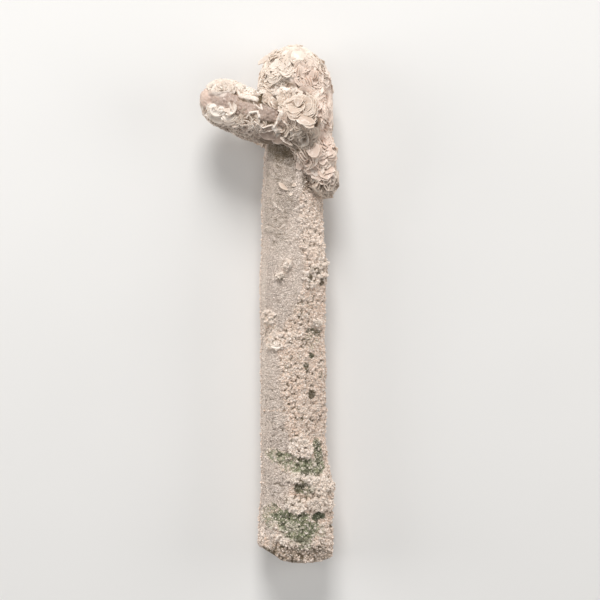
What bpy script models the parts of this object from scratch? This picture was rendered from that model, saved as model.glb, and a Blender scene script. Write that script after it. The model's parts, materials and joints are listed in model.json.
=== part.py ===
"""Quartz floater: a long six-sided quartz crystal in a coat of fine quartz, with a crown
of overlapping calcite plates grown round its head.

It lies on its back on the plane z = 0, its length along Y and the crown at +Y.
The shapes are worked out in the specimen's own frame, in millimetres:
    u  across the crystal, to the right
    v  along the crystal, from its broken foot to the crown
    w  out of the crystal's front
"""

import math

import bmesh
import bpy
import numpy as np

MM = 0.001

# Where the specimen's frame lies in the part's frame.
FOOTPRINT_MIDDLE = (-5.92, 70.37)  # u and v of the part's origin
FLOOR_W = -9.0  # w of the plane that the back rests on

# The quartz column.
FACE_TURN = math.radians(-10.0)  # the front face looks a little to the left
FACE_REACH = (1.0, 0.97, 1.02, 0.98, 1.0, 0.95)  # how far each of the six faces stands out
CORNER_SHARPNESS = 26.0
HEAD_V = 118.0  # where the column's sides end, inside the crown
HEAD_POINT = 8.0  # height of its six-sided point
COLUMN_AROUND = 108
COLUMN_ALONG = 230
COLUMN_KEEP = 0.062  # share of the fine mesh's triangles that is kept
# The column's edges as seen from the front: v, left edge, right edge.
COLUMN_EDGES = (
    (0.0, -9.0, 10.2),
    (4.0, -9.4, 10.6),
    (12.0, -9.1, 10.6),
    (17.0, -8.7, 10.6),
    (20.5, -8.5, 10.8),
    (24.0, -8.4, 10.1),
    (28.0, -8.4, 9.2),
    (34.0, -8.5, 8.8),
    (52.0, -8.7, 8.7),
    (60.0, -8.5, 8.5),
    (73.0, -8.8, 8.8),
    (88.0, -8.3, 8.1),
    (98.0, -8.2, 8.0),
    (112.0, -7.4, 7.8),
    (118.0, -7.0, 7.4),
)
# The broken foot's outline: u, v.
FOOT_EDGE = (
    (-9.6, 4.6),
    (-7.4, 4.0),
    (-5.6, 3.4),
    (-4.2, 1.9),
    (0.0, 1.0),
    (6.0, 0.7),
    (8.6, 1.2),
    (10.6, 3.2),
)
FOOT_RINGS = (0.98, 0.90, 0.76, 0.54, 0.28)  # shares of the foot's width
FOOT_BULGE = 0.7
FOOT_ROUGHNESS = 0.5

# Relief of the front: u, v, half width, half height, turn in degrees, rise.
CRUST_LEDGES = (
    (2.6, 30.8, 3.4, 3.0, 10.0, 0.75),
    (3.0, 22.8, 4.0, 1.5, -8.0, 0.80),
    (8.2, 20.5, 3.0, 3.2, 0.0, 0.60),
    (0.6, 15.8, 3.4, 1.9, -20.0, 0.85),
    (7.2, 16.0, 3.6, 2.2, 12.0, 0.70),
    (-4.0, 58.6, 2.2, 1.2, 10.0, 0.65),
    (-2.0, 61.0, 3.4, 2.4, 0.0, 0.30),
    (-6.0, 66.5, 1.7, 1.8, 20.0, 0.50),
    (6.4, 78.0, 2.6, 3.6, -15.0, 0.60),
    (7.6, 81.0, 1.6, 2.4, 0.0, 0.60),
    (5.6, 64.0, 1.6, 1.8, 0.0, 0.45),
    (5.0, 45.0, 3.4, 9.0, 0.0, 0.30),
    (3.0, 5.0, 5.5, 1.6, -6.0, 0.55),
    (8.6, 6.0, 2.2, 4.0, 0.0, 0.45),
)
HOLLOWS = (
    (7.0, 29.2, 1.1, 4.6, 8.0, -1.5),
    (4.8, 25.8, 3.7, 2.3, 10.0, -1.6),
    (-2.6, 28.9, 3.3, 1.8, 14.0, -0.9),
    (1.7, 20.2, 1.5, 1.6, 0.0, -1.6),
    (4.8, 20.1, 1.1, 1.0, 0.0, -1.1),
    (-0.6, 11.2, 5.4, 3.2, -14.0, -1.5),
    (6.6, 12.2, 2.3, 1.7, 8.0, -1.9),
    (4.2, 8.6, 3.2, 2.8, 30.0, -1.4),
    (2.0, 6.2, 1.1, 0.9, 0.0, -2.0),
    (-7.0, 3.4, 1.5, 1.2, -20.0, -1.8),
    (5.2, 56.0, 0.9, 0.9, 0.0, -1.6),
    (3.8, 52.8, 0.9, 1.5, 10.0, -1.4),
    (5.0, 45.6, 1.0, 1.6, 0.0, -1.7),
    (4.7, 48.6, 1.0, 0.8, 0.0, -0.8),
    (5.6, 63.0, 1.3, 1.7, 0.0, -1.5),
    (4.6, 77.2, 1.0, 1.1, 0.0, -1.2),
    (7.6, 76.0, 0.8, 1.2, 0.0, -1.3),
)
COAT_CELL = 1.6  # size of the lumps of fine quartz
COAT_HEIGHT = 0.40
SWELL = 0.22
SWELL_CELL = 7.0
LONE_PLATE_RISE = 0.2
COAT_ENDS_V = (93.0, 98.0)  # the coat thins out here, short of the crown

# Calcite plates that stand alone on the column:
# u, v, radius, thickness, lean to the right and lean up, in degrees.
LONE_PLATES = (
    (-2.3, 101.7, 1.9, 0.6, -24.0, 52.0),
    (0.8, 101.9, 1.0, 0.6, 20.0, 30.0),
    (-1.0, 80.5, 1.5, 0.7, 18.0, -28.0),
    (-3.3, 77.5, 1.4, 0.7, -20.0, -18.0),
    (-4.1, 58.4, 1.8, 0.7, 4.0, -30.0),
    (8.4, 81.2, 1.4, 0.8, 64.0, 20.0),
    (8.4, 65.8, 1.4, 0.6, 74.0, 10.0),
    (-2.9, 8.6, 2.5, 0.7, 40.0, 58.0),
    (-2.2, 6.4, 1.2, 0.8, -34.0, 20.0),
)

# The crown's lobes: centre u, v, w, half lengths along them, turn in degrees, plates.
LOBES = (
    ((-17.4, 123.6, 3.6), (6.1, 5.6, 6.0), -20.0, 26),
    ((-9.0, 119.6, 5.2), (10.0, 6.0, 6.8), -14.0, 32),
    ((2.4, 118.2, 7.8), (5.6, 6.2, 6.0), -20.0, 30),
    ((0.6, 127.8, 0.4), (8.9, 10.5, 7.8), 0.0, 56),
    ((5.6, 119.0, -0.4), (4.4, 10.4, 8.9), -2.0, 26),
    ((5.4, 110.2, 4.2), (5.7, 5.4, 5.6), 0.0, 24),
    ((8.2, 103.6, 2.6), (3.3, 4.4, 5.4), 8.0, 16),
    ((-3.6, 119.6, -4.8), (8.6, 6.4, 4.8), -6.0, 20),
)
LOBE_DETAIL = 3
LOBE_KEEP = 0.5  # share of a lobe's triangles that is kept
LOBE_SWELL = 0.7
LOBE_SWELL_CELL = 4.5
SOCKET_GAP = 0.3  # between the crown and the column inside it
SOCKET_FROM_V = 90.0
SOCKET_AROUND = 24
SOCKET_ALONG = 5
FLOOR_DEPTH = 30.0

# What the crown's plates fan out from: u, v, w.
ROSETTES = (
    (-18.5, 118.5, 9.5),
    (-22.0, 124.0, 6.0),
    (-15.5, 126.5, 8.0),
    (-8.5, 122.5, 12.0),
    (-8.0, 114.5, 10.5),
    (-2.5, 120.5, 13.5),
    (3.2, 119.0, 14.5),
    (1.5, 114.5, 12.0),
    (-4.5, 131.5, 8.5),
    (2.5, 136.0, 5.0),
    (7.0, 129.5, 5.5),
    (8.8, 120.5, 5.0),
    (7.0, 109.0, 8.5),
    (9.5, 103.0, 4.0),
    (-6.5, 133.0, -5.0),
    (5.0, 131.0, -7.0),
    (-14.0, 122.0, -3.5),
    (-4.0, 119.0, -9.0),
    (7.0, 116.0, -7.5),
    (-20.5, 120.0, -1.5),
)
# Broad plates on the crown's front: u, v, radius, thickness, lean to the right and lean up.
BROAD_PLATES = (
    (-19.4, 125.8, 3.7, 0.9, -10.0, 22.0),
    (-23.3, 126.6, 2.2, 1.0, -52.0, 10.0),
    (-12.0, 123.4, 3.4, 0.9, 4.0, 16.0),
    (-6.2, 121.8, 3.3, 0.9, 8.0, -4.0),
    (-21.4, 121.4, 2.6, 1.0, -30.0, -28.0),
    (-17.4, 121.6, 2.5, 1.0, 4.0, -34.0),
    (-2.8, 119.6, 3.0, 0.8, 66.0, 6.0),
    (5.0, 119.4, 2.9, 0.9, 22.0, -22.0),
    (6.4, 108.8, 2.6, 0.8, 30.0, -34.0),
    (8.6, 107.6, 2.2, 0.8, 46.0, 8.0),
)
GOLDEN_ANGLE = math.pi * (3.0 - math.sqrt(5.0))
PLATE_SIDES = 6
PLATE_RADIUS = (1.7, 2.7)
PLATE_THICKNESS = (0.6, 0.85)
BACK_W = -3.0  # behind this, only every other plate is kept
PLATE_LEAN = (18.0, 56.0)  # degrees from lying flat on the lobe
PLATE_SEED = 41

COAT_COLOUR = (0.56, 0.46, 0.39, 1.0)
CALCITE_COLOUR = (0.74, 0.62, 0.54, 1.0)


def hashed(cells, seed):
    """A number from 0 to 1 for each whole-numbered cell, the same on every run."""
    words = np.asarray(cells).astype(np.int64).astype(np.uint32)
    mixed = words[..., 0] * np.uint32(374761393) + words[..., 1] * np.uint32(668265263)
    mixed = mixed + words[..., 2] * np.uint32(1442695041) + np.uint32(seed * 974711)
    mixed = (mixed ^ (mixed >> np.uint32(13))) * np.uint32(1274126177)
    mixed = mixed ^ (mixed >> np.uint32(16))
    return (mixed & np.uint32(0xFFFFFF)) / float(0xFFFFFF)


def noise(points, cell, seed):
    """Smooth noise from -1 to 1: hashed values at the corners of a lattice, blended."""
    at = points / cell
    base = np.floor(at)
    share = smooth_step(at - base)
    total = np.zeros(points.shape[:-1])
    for corner in np.ndindex(2, 2, 2):
        step = np.array(corner, float)
        weight = np.prod(np.where(step > 0, share, 1.0 - share), axis=-1)
        total += weight * hashed(base + step, seed)
    return total * 2.0 - 1.0


def lumps(points, cell, seed):
    """Pointed lumps from 0 to 1: one for each lattice cell, highest at its own centre."""
    base = np.floor(points / cell)
    nearest = np.full(points.shape[:-1], 9.0)
    for corner in np.ndindex(3, 3, 3):
        cells = base + np.array(corner, float) - 1.0
        centre = cells + np.stack([hashed(cells, seed + k) for k in range(3)], axis=-1)
        nearest = np.minimum(nearest, np.linalg.norm(points / cell - centre, axis=-1))
    return np.clip(1.0 - nearest, 0.0, 1.0)


def smooth_step(x):
    """From 0 at 0 to 1 at 1, level at both ends."""
    x = np.clip(x, 0.0, 1.0)
    return x * x * (3.0 - 2.0 * x)


def relief(u, v, features, seed):
    """Rise of the ledges or hollows listed: each fades out at its own ragged outline."""
    rise = np.zeros(np.shape(u))
    flat = np.stack([u, v, np.full_like(u, 3.0 * seed)], axis=-1)
    rag = 0.30 * noise(flat, 2.3, seed) + 0.16 * noise(flat, 0.9, seed + 1)
    for centre_u, centre_v, half_u, half_v, turn, height in features:
        cos, sin = math.cos(math.radians(turn)), math.sin(math.radians(turn))
        along = ((u - centre_u) * cos + (v - centre_v) * sin) / half_u
        across = ((v - centre_v) * cos - (u - centre_u) * sin) / half_v
        inside = smooth_step((1.18 - np.hypot(along, across) - rag) * 2.6)
        rise = np.where(np.abs(height * inside) > np.abs(rise), height * inside, rise)
    return rise


def section(angle):
    """Radius of the six-sided section, corners a little rounded, for a half width of 1."""

    def radius(at):
        total = np.zeros(np.shape(at))
        for k, reach in enumerate(FACE_REACH):
            facing = np.clip(np.cos(at - FACE_TURN - k * math.pi / 3.0), 0.0, None)
            total += (facing / reach) ** CORNER_SHARPNESS
        return total ** (-1.0 / CORNER_SHARPNESS)

    turn = np.linspace(0.0, 2.0 * math.pi, 721)
    across = radius(turn) * np.sin(turn)
    return radius(angle) * 2.0 / (across.max() - across.min())


def column_rings(from_v, around, along, grow=0.0, coated=True):
    """The column's side as rings of points from its foot, or from_v, up to HEAD_V."""
    angle = FACE_TURN + np.linspace(0.0, 2.0 * math.pi, around, endpoint=False)[None, :]
    share = np.linspace(0.0, 1.0, along)[:, None]
    foot = np.interp(np.sin(angle) * COLUMN_EDGES[0][2], *np.transpose(FOOT_EDGE))
    start = foot if from_v is None else np.full_like(foot, from_v)
    v = start + (HEAD_V - start) * share
    edge_v, left, right = np.transpose(COLUMN_EDGES)
    left, right = np.interp(v, edge_v, left), np.interp(v, edge_v, right)
    radius = section(angle) * (right - left) / 2.0 + grow
    middle = (right + left) / 2.0
    if coated:
        u, w = middle + radius * np.sin(angle), radius * np.cos(angle)
        points = np.stack([u, v, w], axis=-1)
        front = smooth_step(np.cos(angle) * 2.2 + 0.45)
        hollow = relief(u, v, HOLLOWS, 5) * front
        ledge = relief(u, v, CRUST_LEDGES, 9) * front * (hollow > -0.25)
        granular = 0.35 + 0.65 * smooth_step((np.sin(angle) + 0.1) * 1.6)
        coat = COAT_HEIGHT * (lumps(points, COAT_CELL, 3) - 0.45) * granular
        swell = SWELL * noise(points, SWELL_CELL, 2)
        low, high = COAT_ENDS_V
        radius = radius + (hollow + ledge + coat + swell) * smooth_step((high - v) / (high - low))
    return np.stack([middle + radius * np.sin(angle), v, radius * np.cos(angle)], axis=-1)


def foot_rings(rim):
    """Rings inwards over the broken foot, from its middle out to the rim."""
    middle = rim.mean(axis=0)
    rings = []
    for share in reversed(FOOT_RINGS):
        ring = middle + (rim - middle) * share
        ring[:, 1] = middle[1] + (rim[:, 1] - middle[1]) * share**2
        ring[:, 1] -= FOOT_BULGE * (1.0 - share**4)
        ring[:, 1] += FOOT_ROUGHNESS * noise(ring, 2.4, 12)
        rings.append(ring)
    return np.array(rings)


def ring_mesh(name, rings, point):
    """A closed mesh through rings of equal length, the last one ending in a point."""
    count, length = rings.shape[:2]
    at = np.arange(count * length).reshape(count, length)
    onward = np.roll(at, -1, axis=1)
    quads = np.stack([at[:-1], onward[:-1], onward[1:], at[1:]], axis=-1).reshape(-1, 4)
    foot, head = count * length, count * length + 1
    fans = np.vstack(
        [
            np.stack([onward[0], at[0], np.full(length, foot)], axis=-1),
            np.stack([at[-1], onward[-1], np.full(length, head)], axis=-1),
        ]
    )
    tip = rings[-1].mean(axis=0) + (0.0, point, 0.0)
    points = np.vstack([rings.reshape(-1, 3), rings[0].mean(axis=0), tip])
    return new_mesh(name, points, quads.tolist() + fans.tolist())


def new_mesh(name, points, faces):
    """A mesh of points given in the specimen's frame."""
    mesh = bpy.data.meshes.new(name)
    mesh.from_pydata(in_part_frame(points).tolist(), [], faces)
    mesh.validate()
    return mesh


def in_part_frame(points):
    """Points of the specimen's frame, in mm, as points of the part's frame, in metres."""
    u, v, w = np.moveaxis(np.asarray(points, float), -1, 0)
    middle_u, middle_v = FOOTPRINT_MIDDLE
    return np.stack([u - middle_u, v - middle_v, w - FLOOR_W], axis=-1) * MM


def unit(vectors):
    return vectors / np.linalg.norm(vectors, axis=-1, keepdims=True)


def plates_mesh(name, centres, facings, radii, thicknesses):
    """Flat plates with slightly uneven six-sided rims, one for each centre."""
    count = len(centres)
    spare = np.where(np.abs(facings[:, 2:]) < 0.9, [(0.0, 0.0, 1.0)], [(1.0, 0.0, 0.0)])
    across = unit(np.cross(spare, facings))
    along = np.cross(facings, across)
    one, side = np.indices((count, PLATE_SIDES))
    cells = np.stack([one, side, one * 0], axis=-1)
    step = side + 0.45 * hashed(cells, PLATE_SEED + 3) + hashed(cells * (1, 0, 0), PLATE_SEED)
    turn = step * 2.0 * math.pi / PLATE_SIDES
    reach = radii[:, None] * (0.82 + 0.34 * hashed(cells, PLATE_SEED + 1))
    rim = np.cos(turn)[..., None] * across[:, None] + np.sin(turn)[..., None] * along[:, None]
    rim = centres[:, None] + reach[..., None] * rim
    half = (facings * thicknesses[:, None] / 2.0)[:, None]
    points = np.stack([rim - half, rim + half], axis=1).reshape(-1, 3)
    faces = []
    for first in range(0, len(points), 2 * PLATE_SIDES):
        low = [first + k for k in range(PLATE_SIDES)]
        high = [k + PLATE_SIDES for k in low]
        faces += [low[::-1], high]
        faces += [[low[k - 1], low[k], high[k], high[k - 1]] for k in range(PLATE_SIDES)]
    return new_mesh(name, points, faces)


def listed_plates(rows, front):
    """Centres, facings, radii and thicknesses of plates listed by where they are seen."""
    u, v, radii, thicknesses, lean_right, lean_up = np.transpose(rows)
    right_by, up_by = np.radians(lean_right), np.radians(lean_up)
    facings = np.stack([np.sin(right_by), np.sin(up_by), np.cos(right_by)], axis=-1)
    return np.stack([u, v, front(u, v)], axis=-1), unit(facings), radii, thicknesses


def column_front(u, v):
    """How far out of the front the column's plain surface stands at each place."""
    edge_v, left, right = np.transpose(COLUMN_EDGES)
    left, right = np.interp(v, edge_v, left), np.interp(v, edge_v, right)
    middle, half = (left + right) / 2.0, (right - left) / 2.0
    angle = np.linspace(-math.pi / 2.0, math.pi / 2.0, 361)
    reach = section(angle)
    w = half * np.interp((u - middle) / half, reach * np.sin(angle), reach * np.cos(angle))
    return w + LONE_PLATE_RISE


def lobes_front(u, v):
    """How far out of the front the foremost lobe stands at each place."""
    front = np.full(np.shape(u), -np.inf)
    for centre, half, turn, _ in LOBES:
        flat = np.stack([u - centre[0], v - centre[1], np.zeros_like(u)], axis=-1)
        aside = np.linalg.norm(turned(flat, -turn) / half, axis=-1)
        out = centre[2] + half[2] * np.sqrt(np.clip(1.0 - aside**2, 0.0, None))
        front = np.where(aside < 1.0, np.maximum(front, out), front)
    return front


def turned(vectors, degrees):
    """Vectors turned about the w axis."""
    cos, sin = math.cos(math.radians(degrees)), math.sin(math.radians(degrees))
    u, v, w = np.moveaxis(vectors, -1, 0)
    return np.stack([u * cos - v * sin, u * sin + v * cos, w], axis=-1)


def depth_in_lobe(points, lobe):
    """Distance from the lobe's centre as a share of its half lengths: 1 on its surface."""
    centre, half, turn, _ = lobe
    return np.linalg.norm(turned(points - centre, -turn) / half, axis=-1)


def lobes_mesh():
    """The crown's overlapping lobes, each a swollen ball."""
    ball = bmesh.new()
    bmesh.ops.create_icosphere(ball, subdivisions=LOBE_DETAIL, radius=1.0)
    ball.verts.ensure_lookup_table()
    sphere = np.array([vert.co for vert in ball.verts])
    triangles = np.array([[vert.index for vert in face.verts] for face in ball.faces])
    ball.free()
    points, faces = [], []
    for centre, half, turn, _ in LOBES:
        surface = centre + turned(sphere * half, turn)
        outward = unit(turned(sphere / half, turn))
        surface += outward * LOBE_SWELL * noise(surface, LOBE_SWELL_CELL, 6)[:, None]
        faces += (triangles + len(sphere) * len(points)).tolist()
        points.append(surface)
    return new_mesh("crown_lobes", np.vstack(points), faces)


def scale_plates():
    """Plates spread over the lobes, leaning outwards from the nearest rosette's middle."""
    centres, facings = [], []
    for lobe in LOBES:
        centre, half, turn, count = lobe
        k = np.arange(count) + 0.5
        height = 1.0 - 2.0 * k / count
        around = np.sqrt(1.0 - height**2)
        spread = [around * np.cos(k * GOLDEN_ANGLE), around * np.sin(k * GOLDEN_ANGLE), height]
        sphere = np.stack(spread, axis=-1)
        at = centre + turned(sphere * half, turn)
        outward = unit(turned(sphere / half, turn))
        others = [depth_in_lobe(at, other) for other in LOBES if other is not lobe]
        under = np.hypot(*np.moveaxis(at[:, None, :2] - np.array(BROAD_PLATES)[:, :2], -1, 0))
        under = np.any(under < np.array(BROAD_PLATES)[:, 2] * 0.8, axis=-1) & (at[:, 2] > 0.0)
        shown = (at[:, 2] > BACK_W) | (np.arange(count) % 2 == 0)
        clear = shown & (np.min(others, axis=0) > 0.93) & ~in_column(at) & ~under
        at, outward = at[clear], outward[clear]
        away = at[:, None] - np.array(ROSETTES)[None]
        distance = np.linalg.norm(away, axis=-1)
        away = away[np.arange(len(at)), distance.argmin(axis=1)]
        away -= outward * np.sum(away * outward, axis=-1, keepdims=True)
        lean = PLATE_LEAN[0] + (PLATE_LEAN[1] - PLATE_LEAN[0]) * hashed(np.round(at * 9.0), 3)
        lean = np.radians(lean)[:, None]
        centres.append(at)
        facings.append(unit(outward * np.cos(lean) - unit(away + 0.01) * np.sin(lean)))
    centres, facings = np.vstack(centres), np.vstack(facings)
    cells = np.round(centres * 7.0)
    radii = np.interp(hashed(cells, PLATE_SEED), (0.0, 1.0), PLATE_RADIUS)
    thicknesses = np.interp(hashed(cells, PLATE_SEED + 2), (0.0, 1.0), PLATE_THICKNESS)
    return centres, facings, radii, thicknesses


def in_column(points):
    """Whether each point lies inside the column."""
    edge_v, left, right = np.transpose(COLUMN_EDGES)
    left, right = np.interp(points[:, 1], edge_v, left), np.interp(points[:, 1], edge_v, right)
    from_middle = np.hypot(points[:, 0] - (left + right) / 2.0, points[:, 2])
    return (from_middle < (right - left) / 2.0) & (points[:, 1] < HEAD_V)


def floor_block():
    """A block whose top is the plane that the object's back rests on."""
    low, top = FLOOR_W - FLOOR_DEPTH, FLOOR_W
    corners = [(u, v) for u, v in ((-60, -40), (60, -40), (60, 180), (-60, 180))]
    points = [(u, v, w) for w in (low, top) for u, v in corners]
    faces = [(3, 2, 1, 0), (4, 5, 6, 7), (0, 1, 5, 4), (1, 2, 6, 5), (2, 3, 7, 6), (3, 0, 4, 7)]
    return new_mesh("floor_block", points, faces)


def helper(mesh):
    """An object used only to cut or join, left out of the model."""
    made = bpy.data.objects.new(mesh.name, mesh)
    bpy.context.scene.collection.objects.link(made)
    made.hide_render = True
    made.display_type = "WIRE"
    return made


def thin_out(owner, keep):
    step = owner.modifiers.new("thin_out", "DECIMATE")
    step.ratio = keep


def boolean(owner, operation, other):
    step = owner.modifiers.new(operation.lower() + "_" + other.name, "BOOLEAN")
    step.operation = operation
    step.solver = "EXACT"
    step.use_self = operation == "UNION"
    step.object = other


def largest_piece(mesh):
    """Removes all but the biggest joined piece of the mesh, so that no chip floats free."""
    work = bmesh.new()
    work.from_mesh(mesh)
    waiting, pieces = set(work.verts), []
    while waiting:
        piece, front = set(), [waiting.pop()]
        while front:
            vert = front.pop()
            piece.add(vert)
            near = {edge.other_vert(vert) for edge in vert.link_edges} & waiting
            waiting -= near
            front.extend(near)
        pieces.append(piece)
    keep = max(pieces, key=len)
    chips = [vert for vert in work.verts if vert not in keep]
    bmesh.ops.delete(work, geom=chips, context="VERTS")
    work.to_mesh(mesh)
    work.free()


def solid(name, source, colour, roughness):
    """The finished object of a helper with its modifiers carried out."""
    bpy.context.view_layer.update()
    graph = bpy.context.evaluated_depsgraph_get()
    mesh = bpy.data.meshes.new_from_object(source.evaluated_get(graph))
    mesh.name = name
    largest_piece(mesh)
    surface = bpy.data.materials.new(name)
    surface.use_nodes = True
    shader = surface.node_tree.nodes["Principled BSDF"]
    shader.inputs["Base Color"].default_value = colour
    shader.inputs["Roughness"].default_value = roughness
    surface.diffuse_color = colour
    mesh.materials.clear()
    mesh.materials.append(surface)
    made = bpy.data.objects.new(name, mesh)
    bpy.context.scene.collection.objects.link(made)
    return made


def quartz_column(floor):
    """The long crystal with its coat, ledges, hollows and lone plates."""
    sides = column_rings(None, COLUMN_AROUND, COLUMN_ALONG)
    rings = np.vstack([foot_rings(sides[0]), sides])
    blank = helper(ring_mesh("column_blank", rings, HEAD_POINT))
    thin_out(blank, COLUMN_KEEP)
    lone = listed_plates(LONE_PLATES, column_front)
    boolean(blank, "UNION", helper(plates_mesh("lone_plates", *lone)))
    boolean(blank, "DIFFERENCE", floor)
    return solid("quartz_column", blank, COAT_COLOUR, 0.7)


def blade_crown(floor):
    """The crown of calcite plates, hollowed where the column runs up into it."""
    socket = column_rings(SOCKET_FROM_V, SOCKET_AROUND, SOCKET_ALONG, SOCKET_GAP, coated=False)
    socket[-1, :, 1] += 0.4 * SOCKET_GAP
    broad = listed_plates(BROAD_PLATES, lobes_front)
    plates = [np.concatenate(pair) for pair in zip(scale_plates(), broad)]
    blank = helper(lobes_mesh())
    thin_out(blank, LOBE_KEEP)
    boolean(blank, "UNION", helper(plates_mesh("crown_plates", *plates)))
    boolean(blank, "DIFFERENCE", helper(ring_mesh("socket", socket, HEAD_POINT + SOCKET_GAP)))
    boolean(blank, "DIFFERENCE", floor)
    return solid("blade_crown", blank, CALCITE_COLOUR, 0.45)


def main():
    for old in list(bpy.data.objects):
        bpy.data.objects.remove(old)
    floor = helper(floor_block())
    quartz_column(floor)
    blade_crown(floor)


if __name__ == "__main__":
    main()
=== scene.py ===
"""Quartz floater: the finished surfaces of a long quartz crystal in a coat of fine quartz,
with a crown of overlapping calcite plates grown round its head.

Shapes are worked out in the specimen's own frame, in millimetres, as in the solids:
    u  across the crystal, to the right
    v  along the crystal, from its broken foot to the crown
    w  out of the crystal's front
The specimen lies on its back on z = 0, its length along Y and the crown at +Y.
"""

import sys
import json
import logging
import math
from dataclasses import dataclass, field
from enum import Enum
from typing import NamedTuple

import bpy
import numpy as np
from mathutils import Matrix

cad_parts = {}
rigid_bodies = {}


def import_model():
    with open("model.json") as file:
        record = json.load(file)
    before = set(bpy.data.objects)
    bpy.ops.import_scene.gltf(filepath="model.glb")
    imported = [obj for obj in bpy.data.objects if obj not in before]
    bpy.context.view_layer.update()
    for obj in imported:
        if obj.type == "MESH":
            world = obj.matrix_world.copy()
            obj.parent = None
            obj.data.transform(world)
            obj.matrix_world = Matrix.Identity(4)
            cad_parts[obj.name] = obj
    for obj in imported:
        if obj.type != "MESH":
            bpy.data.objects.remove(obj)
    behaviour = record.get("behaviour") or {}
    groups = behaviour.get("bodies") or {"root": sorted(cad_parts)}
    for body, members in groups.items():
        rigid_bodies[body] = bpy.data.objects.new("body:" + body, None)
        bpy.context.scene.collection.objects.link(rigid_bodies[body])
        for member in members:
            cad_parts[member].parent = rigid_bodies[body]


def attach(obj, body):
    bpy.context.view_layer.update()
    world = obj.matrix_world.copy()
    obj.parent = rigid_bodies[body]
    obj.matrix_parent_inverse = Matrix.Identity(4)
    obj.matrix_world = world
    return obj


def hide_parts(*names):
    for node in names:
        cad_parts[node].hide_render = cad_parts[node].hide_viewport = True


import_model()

Array = np.ndarray
Profile = tuple[tuple[float, ...], ...]
log = logging.getLogger("quartz_floater")

MM = 0.001
BODY = "root"
FULL_TURN = 2.0 * math.pi
GOLDEN_ANGLE = math.pi * (3.0 - math.sqrt(5.0))
HASH_ODDS = np.array([374761393, 668265263, 1442695041], np.uint32)
HASH_SEED_STEP = 974711
HASH_STIR = 1274126177
HASH_LOW_BITS = 0xFFFFFF


# ---- Fields: numbers that vary over space ----


def hashed(cells: Array, seed: int) -> Array:
    """A number from 0 to 1 for each whole-numbered cell, the same on every run.

    Args:
        cells: whole numbers, three to a cell, in the last axis.
        seed: picks one of many unlike sets of numbers.

    Returns:
        One number a cell: its three words multiplied by large odd numbers, summed and stirred.
    """
    words = np.asarray(cells).astype(np.int64).astype(np.uint32) * HASH_ODDS
    mixed = words.sum(axis=-1, dtype=np.uint32) + np.uint32(seed * HASH_SEED_STEP)
    mixed = (mixed ^ (mixed >> np.uint32(13))) * np.uint32(HASH_STIR)
    mixed = mixed ^ (mixed >> np.uint32(16))
    return (mixed & np.uint32(HASH_LOW_BITS)) / float(HASH_LOW_BITS)


def chance(count: int, seed: int) -> Array:
    """One number from 0 to 1 for each of count things."""
    order = np.arange(count)
    return hashed(np.stack([order, order // 7, order * 0 + 3], axis=-1), seed)


def swayed(count: int, seed: int) -> Array:
    """A shift by chance for each of count things, from -0.5 to 0.5 in each direction."""
    return np.stack([chance(count, seed + k) for k in range(3)], axis=-1) - 0.5


def smooth_step(x: Array) -> Array:
    """From 0 at 0 to 1 at 1, level at both ends."""
    x = np.clip(x, 0.0, 1.0)
    return x * x * (3.0 - 2.0 * x)


def read_off(at: Array, profile: Profile) -> Array:
    """What a profile of pairs gives at each place: straight lines between the pairs."""
    return np.interp(at, *np.transpose(profile))


def noise(points: Array, cell: float, seed: int) -> Array:
    """Smooth noise from -1 to 1: hashed values at a lattice's corners, blended between them.

    Args:
        points: places, in mm.
        cell: the lattice's spacing, in mm.
        seed: picks one of many unlike noises.

    Returns:
        One value a place.
    """
    at = points / cell
    base = np.floor(at)
    share = smooth_step(at - base)
    total = np.zeros(points.shape[:-1])
    for corner in np.ndindex(2, 2, 2):
        step = np.array(corner, float)
        weight = np.prod(np.where(step > 0, share, 1.0 - share), axis=-1)
        total += weight * hashed(base + step, seed)
    return total * 2.0 - 1.0


def lumps(points: Array, cell: float, seed: int) -> Array:
    """Pointed lumps from 0 to 1, one to a lattice cell: 1 less the distance, in cells, to the
    nearest of the cells' scattered centres.

    Args:
        points: places, in mm.
        cell: the lattice's spacing, in mm.
        seed: picks one of many unlike scatters.

    Returns:
        One value a place.
    """
    base = np.floor(points / cell)
    nearest = np.full(points.shape[:-1], 9.0)
    for corner in np.ndindex(3, 3, 3):
        cells = base + np.array(corner, float) - 1.0
        centre = cells + np.stack([hashed(cells, seed + k) for k in range(3)], axis=-1)
        nearest = np.minimum(nearest, np.linalg.norm(points / cell - centre, axis=-1))
    return np.clip(1.0 - nearest, 0.0, 1.0)


def unit(vectors: Array) -> Array:
    """The vectors at length 1."""
    return vectors / np.maximum(np.linalg.norm(vectors, axis=-1, keepdims=True), 1e-9)


def along_across(du: Array, dv: Array, degrees: float) -> tuple[Array, Array]:
    """Offsets in u and v as offsets along and across a way turned from u towards v."""
    cos, sin = math.cos(math.radians(degrees)), math.sin(math.radians(degrees))
    return du * cos + dv * sin, dv * cos - du * sin


def turned(vectors: Array, degrees: float) -> Array:
    """The vectors turned about the w axis."""
    u, v, w = np.moveaxis(vectors, -1, 0)
    return np.stack([*along_across(u, v, -degrees), w], axis=-1)


def squared(vectors: Array, facings: Array) -> Array:
    """The vectors less their share along unit facings, which leaves them square to these."""
    return vectors - facings * np.sum(vectors * facings, axis=-1, keepdims=True)


def square_to(facings: Array) -> tuple[Array, Array]:
    """Two directions square to each facing and to each other."""
    spare = np.where(np.abs(facings[..., 2:]) < 0.9, [(0.0, 0.0, 1.0)], [(1.0, 0.0, 0.0)])
    across = unit(np.cross(spare, facings))
    return across, np.cross(facings, across)


# ---- Meshes ----


class Mark(Enum):
    """What a mesh tells its material at each vertex, as a number from 0 to 1."""

    GREEN = "green"
    WHITE = "white"
    # This mark is painted shade: how far a vertex is darkened towards a shadow colour, in hollows,
    # gaps, pits, creases and under the crown's arm.
    DEEP = "deep"
    COARSE = "coarse"
    RIM = "rim"
    TINT = "tint"
    GREY = "grey"
    PINK = "pink"


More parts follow.
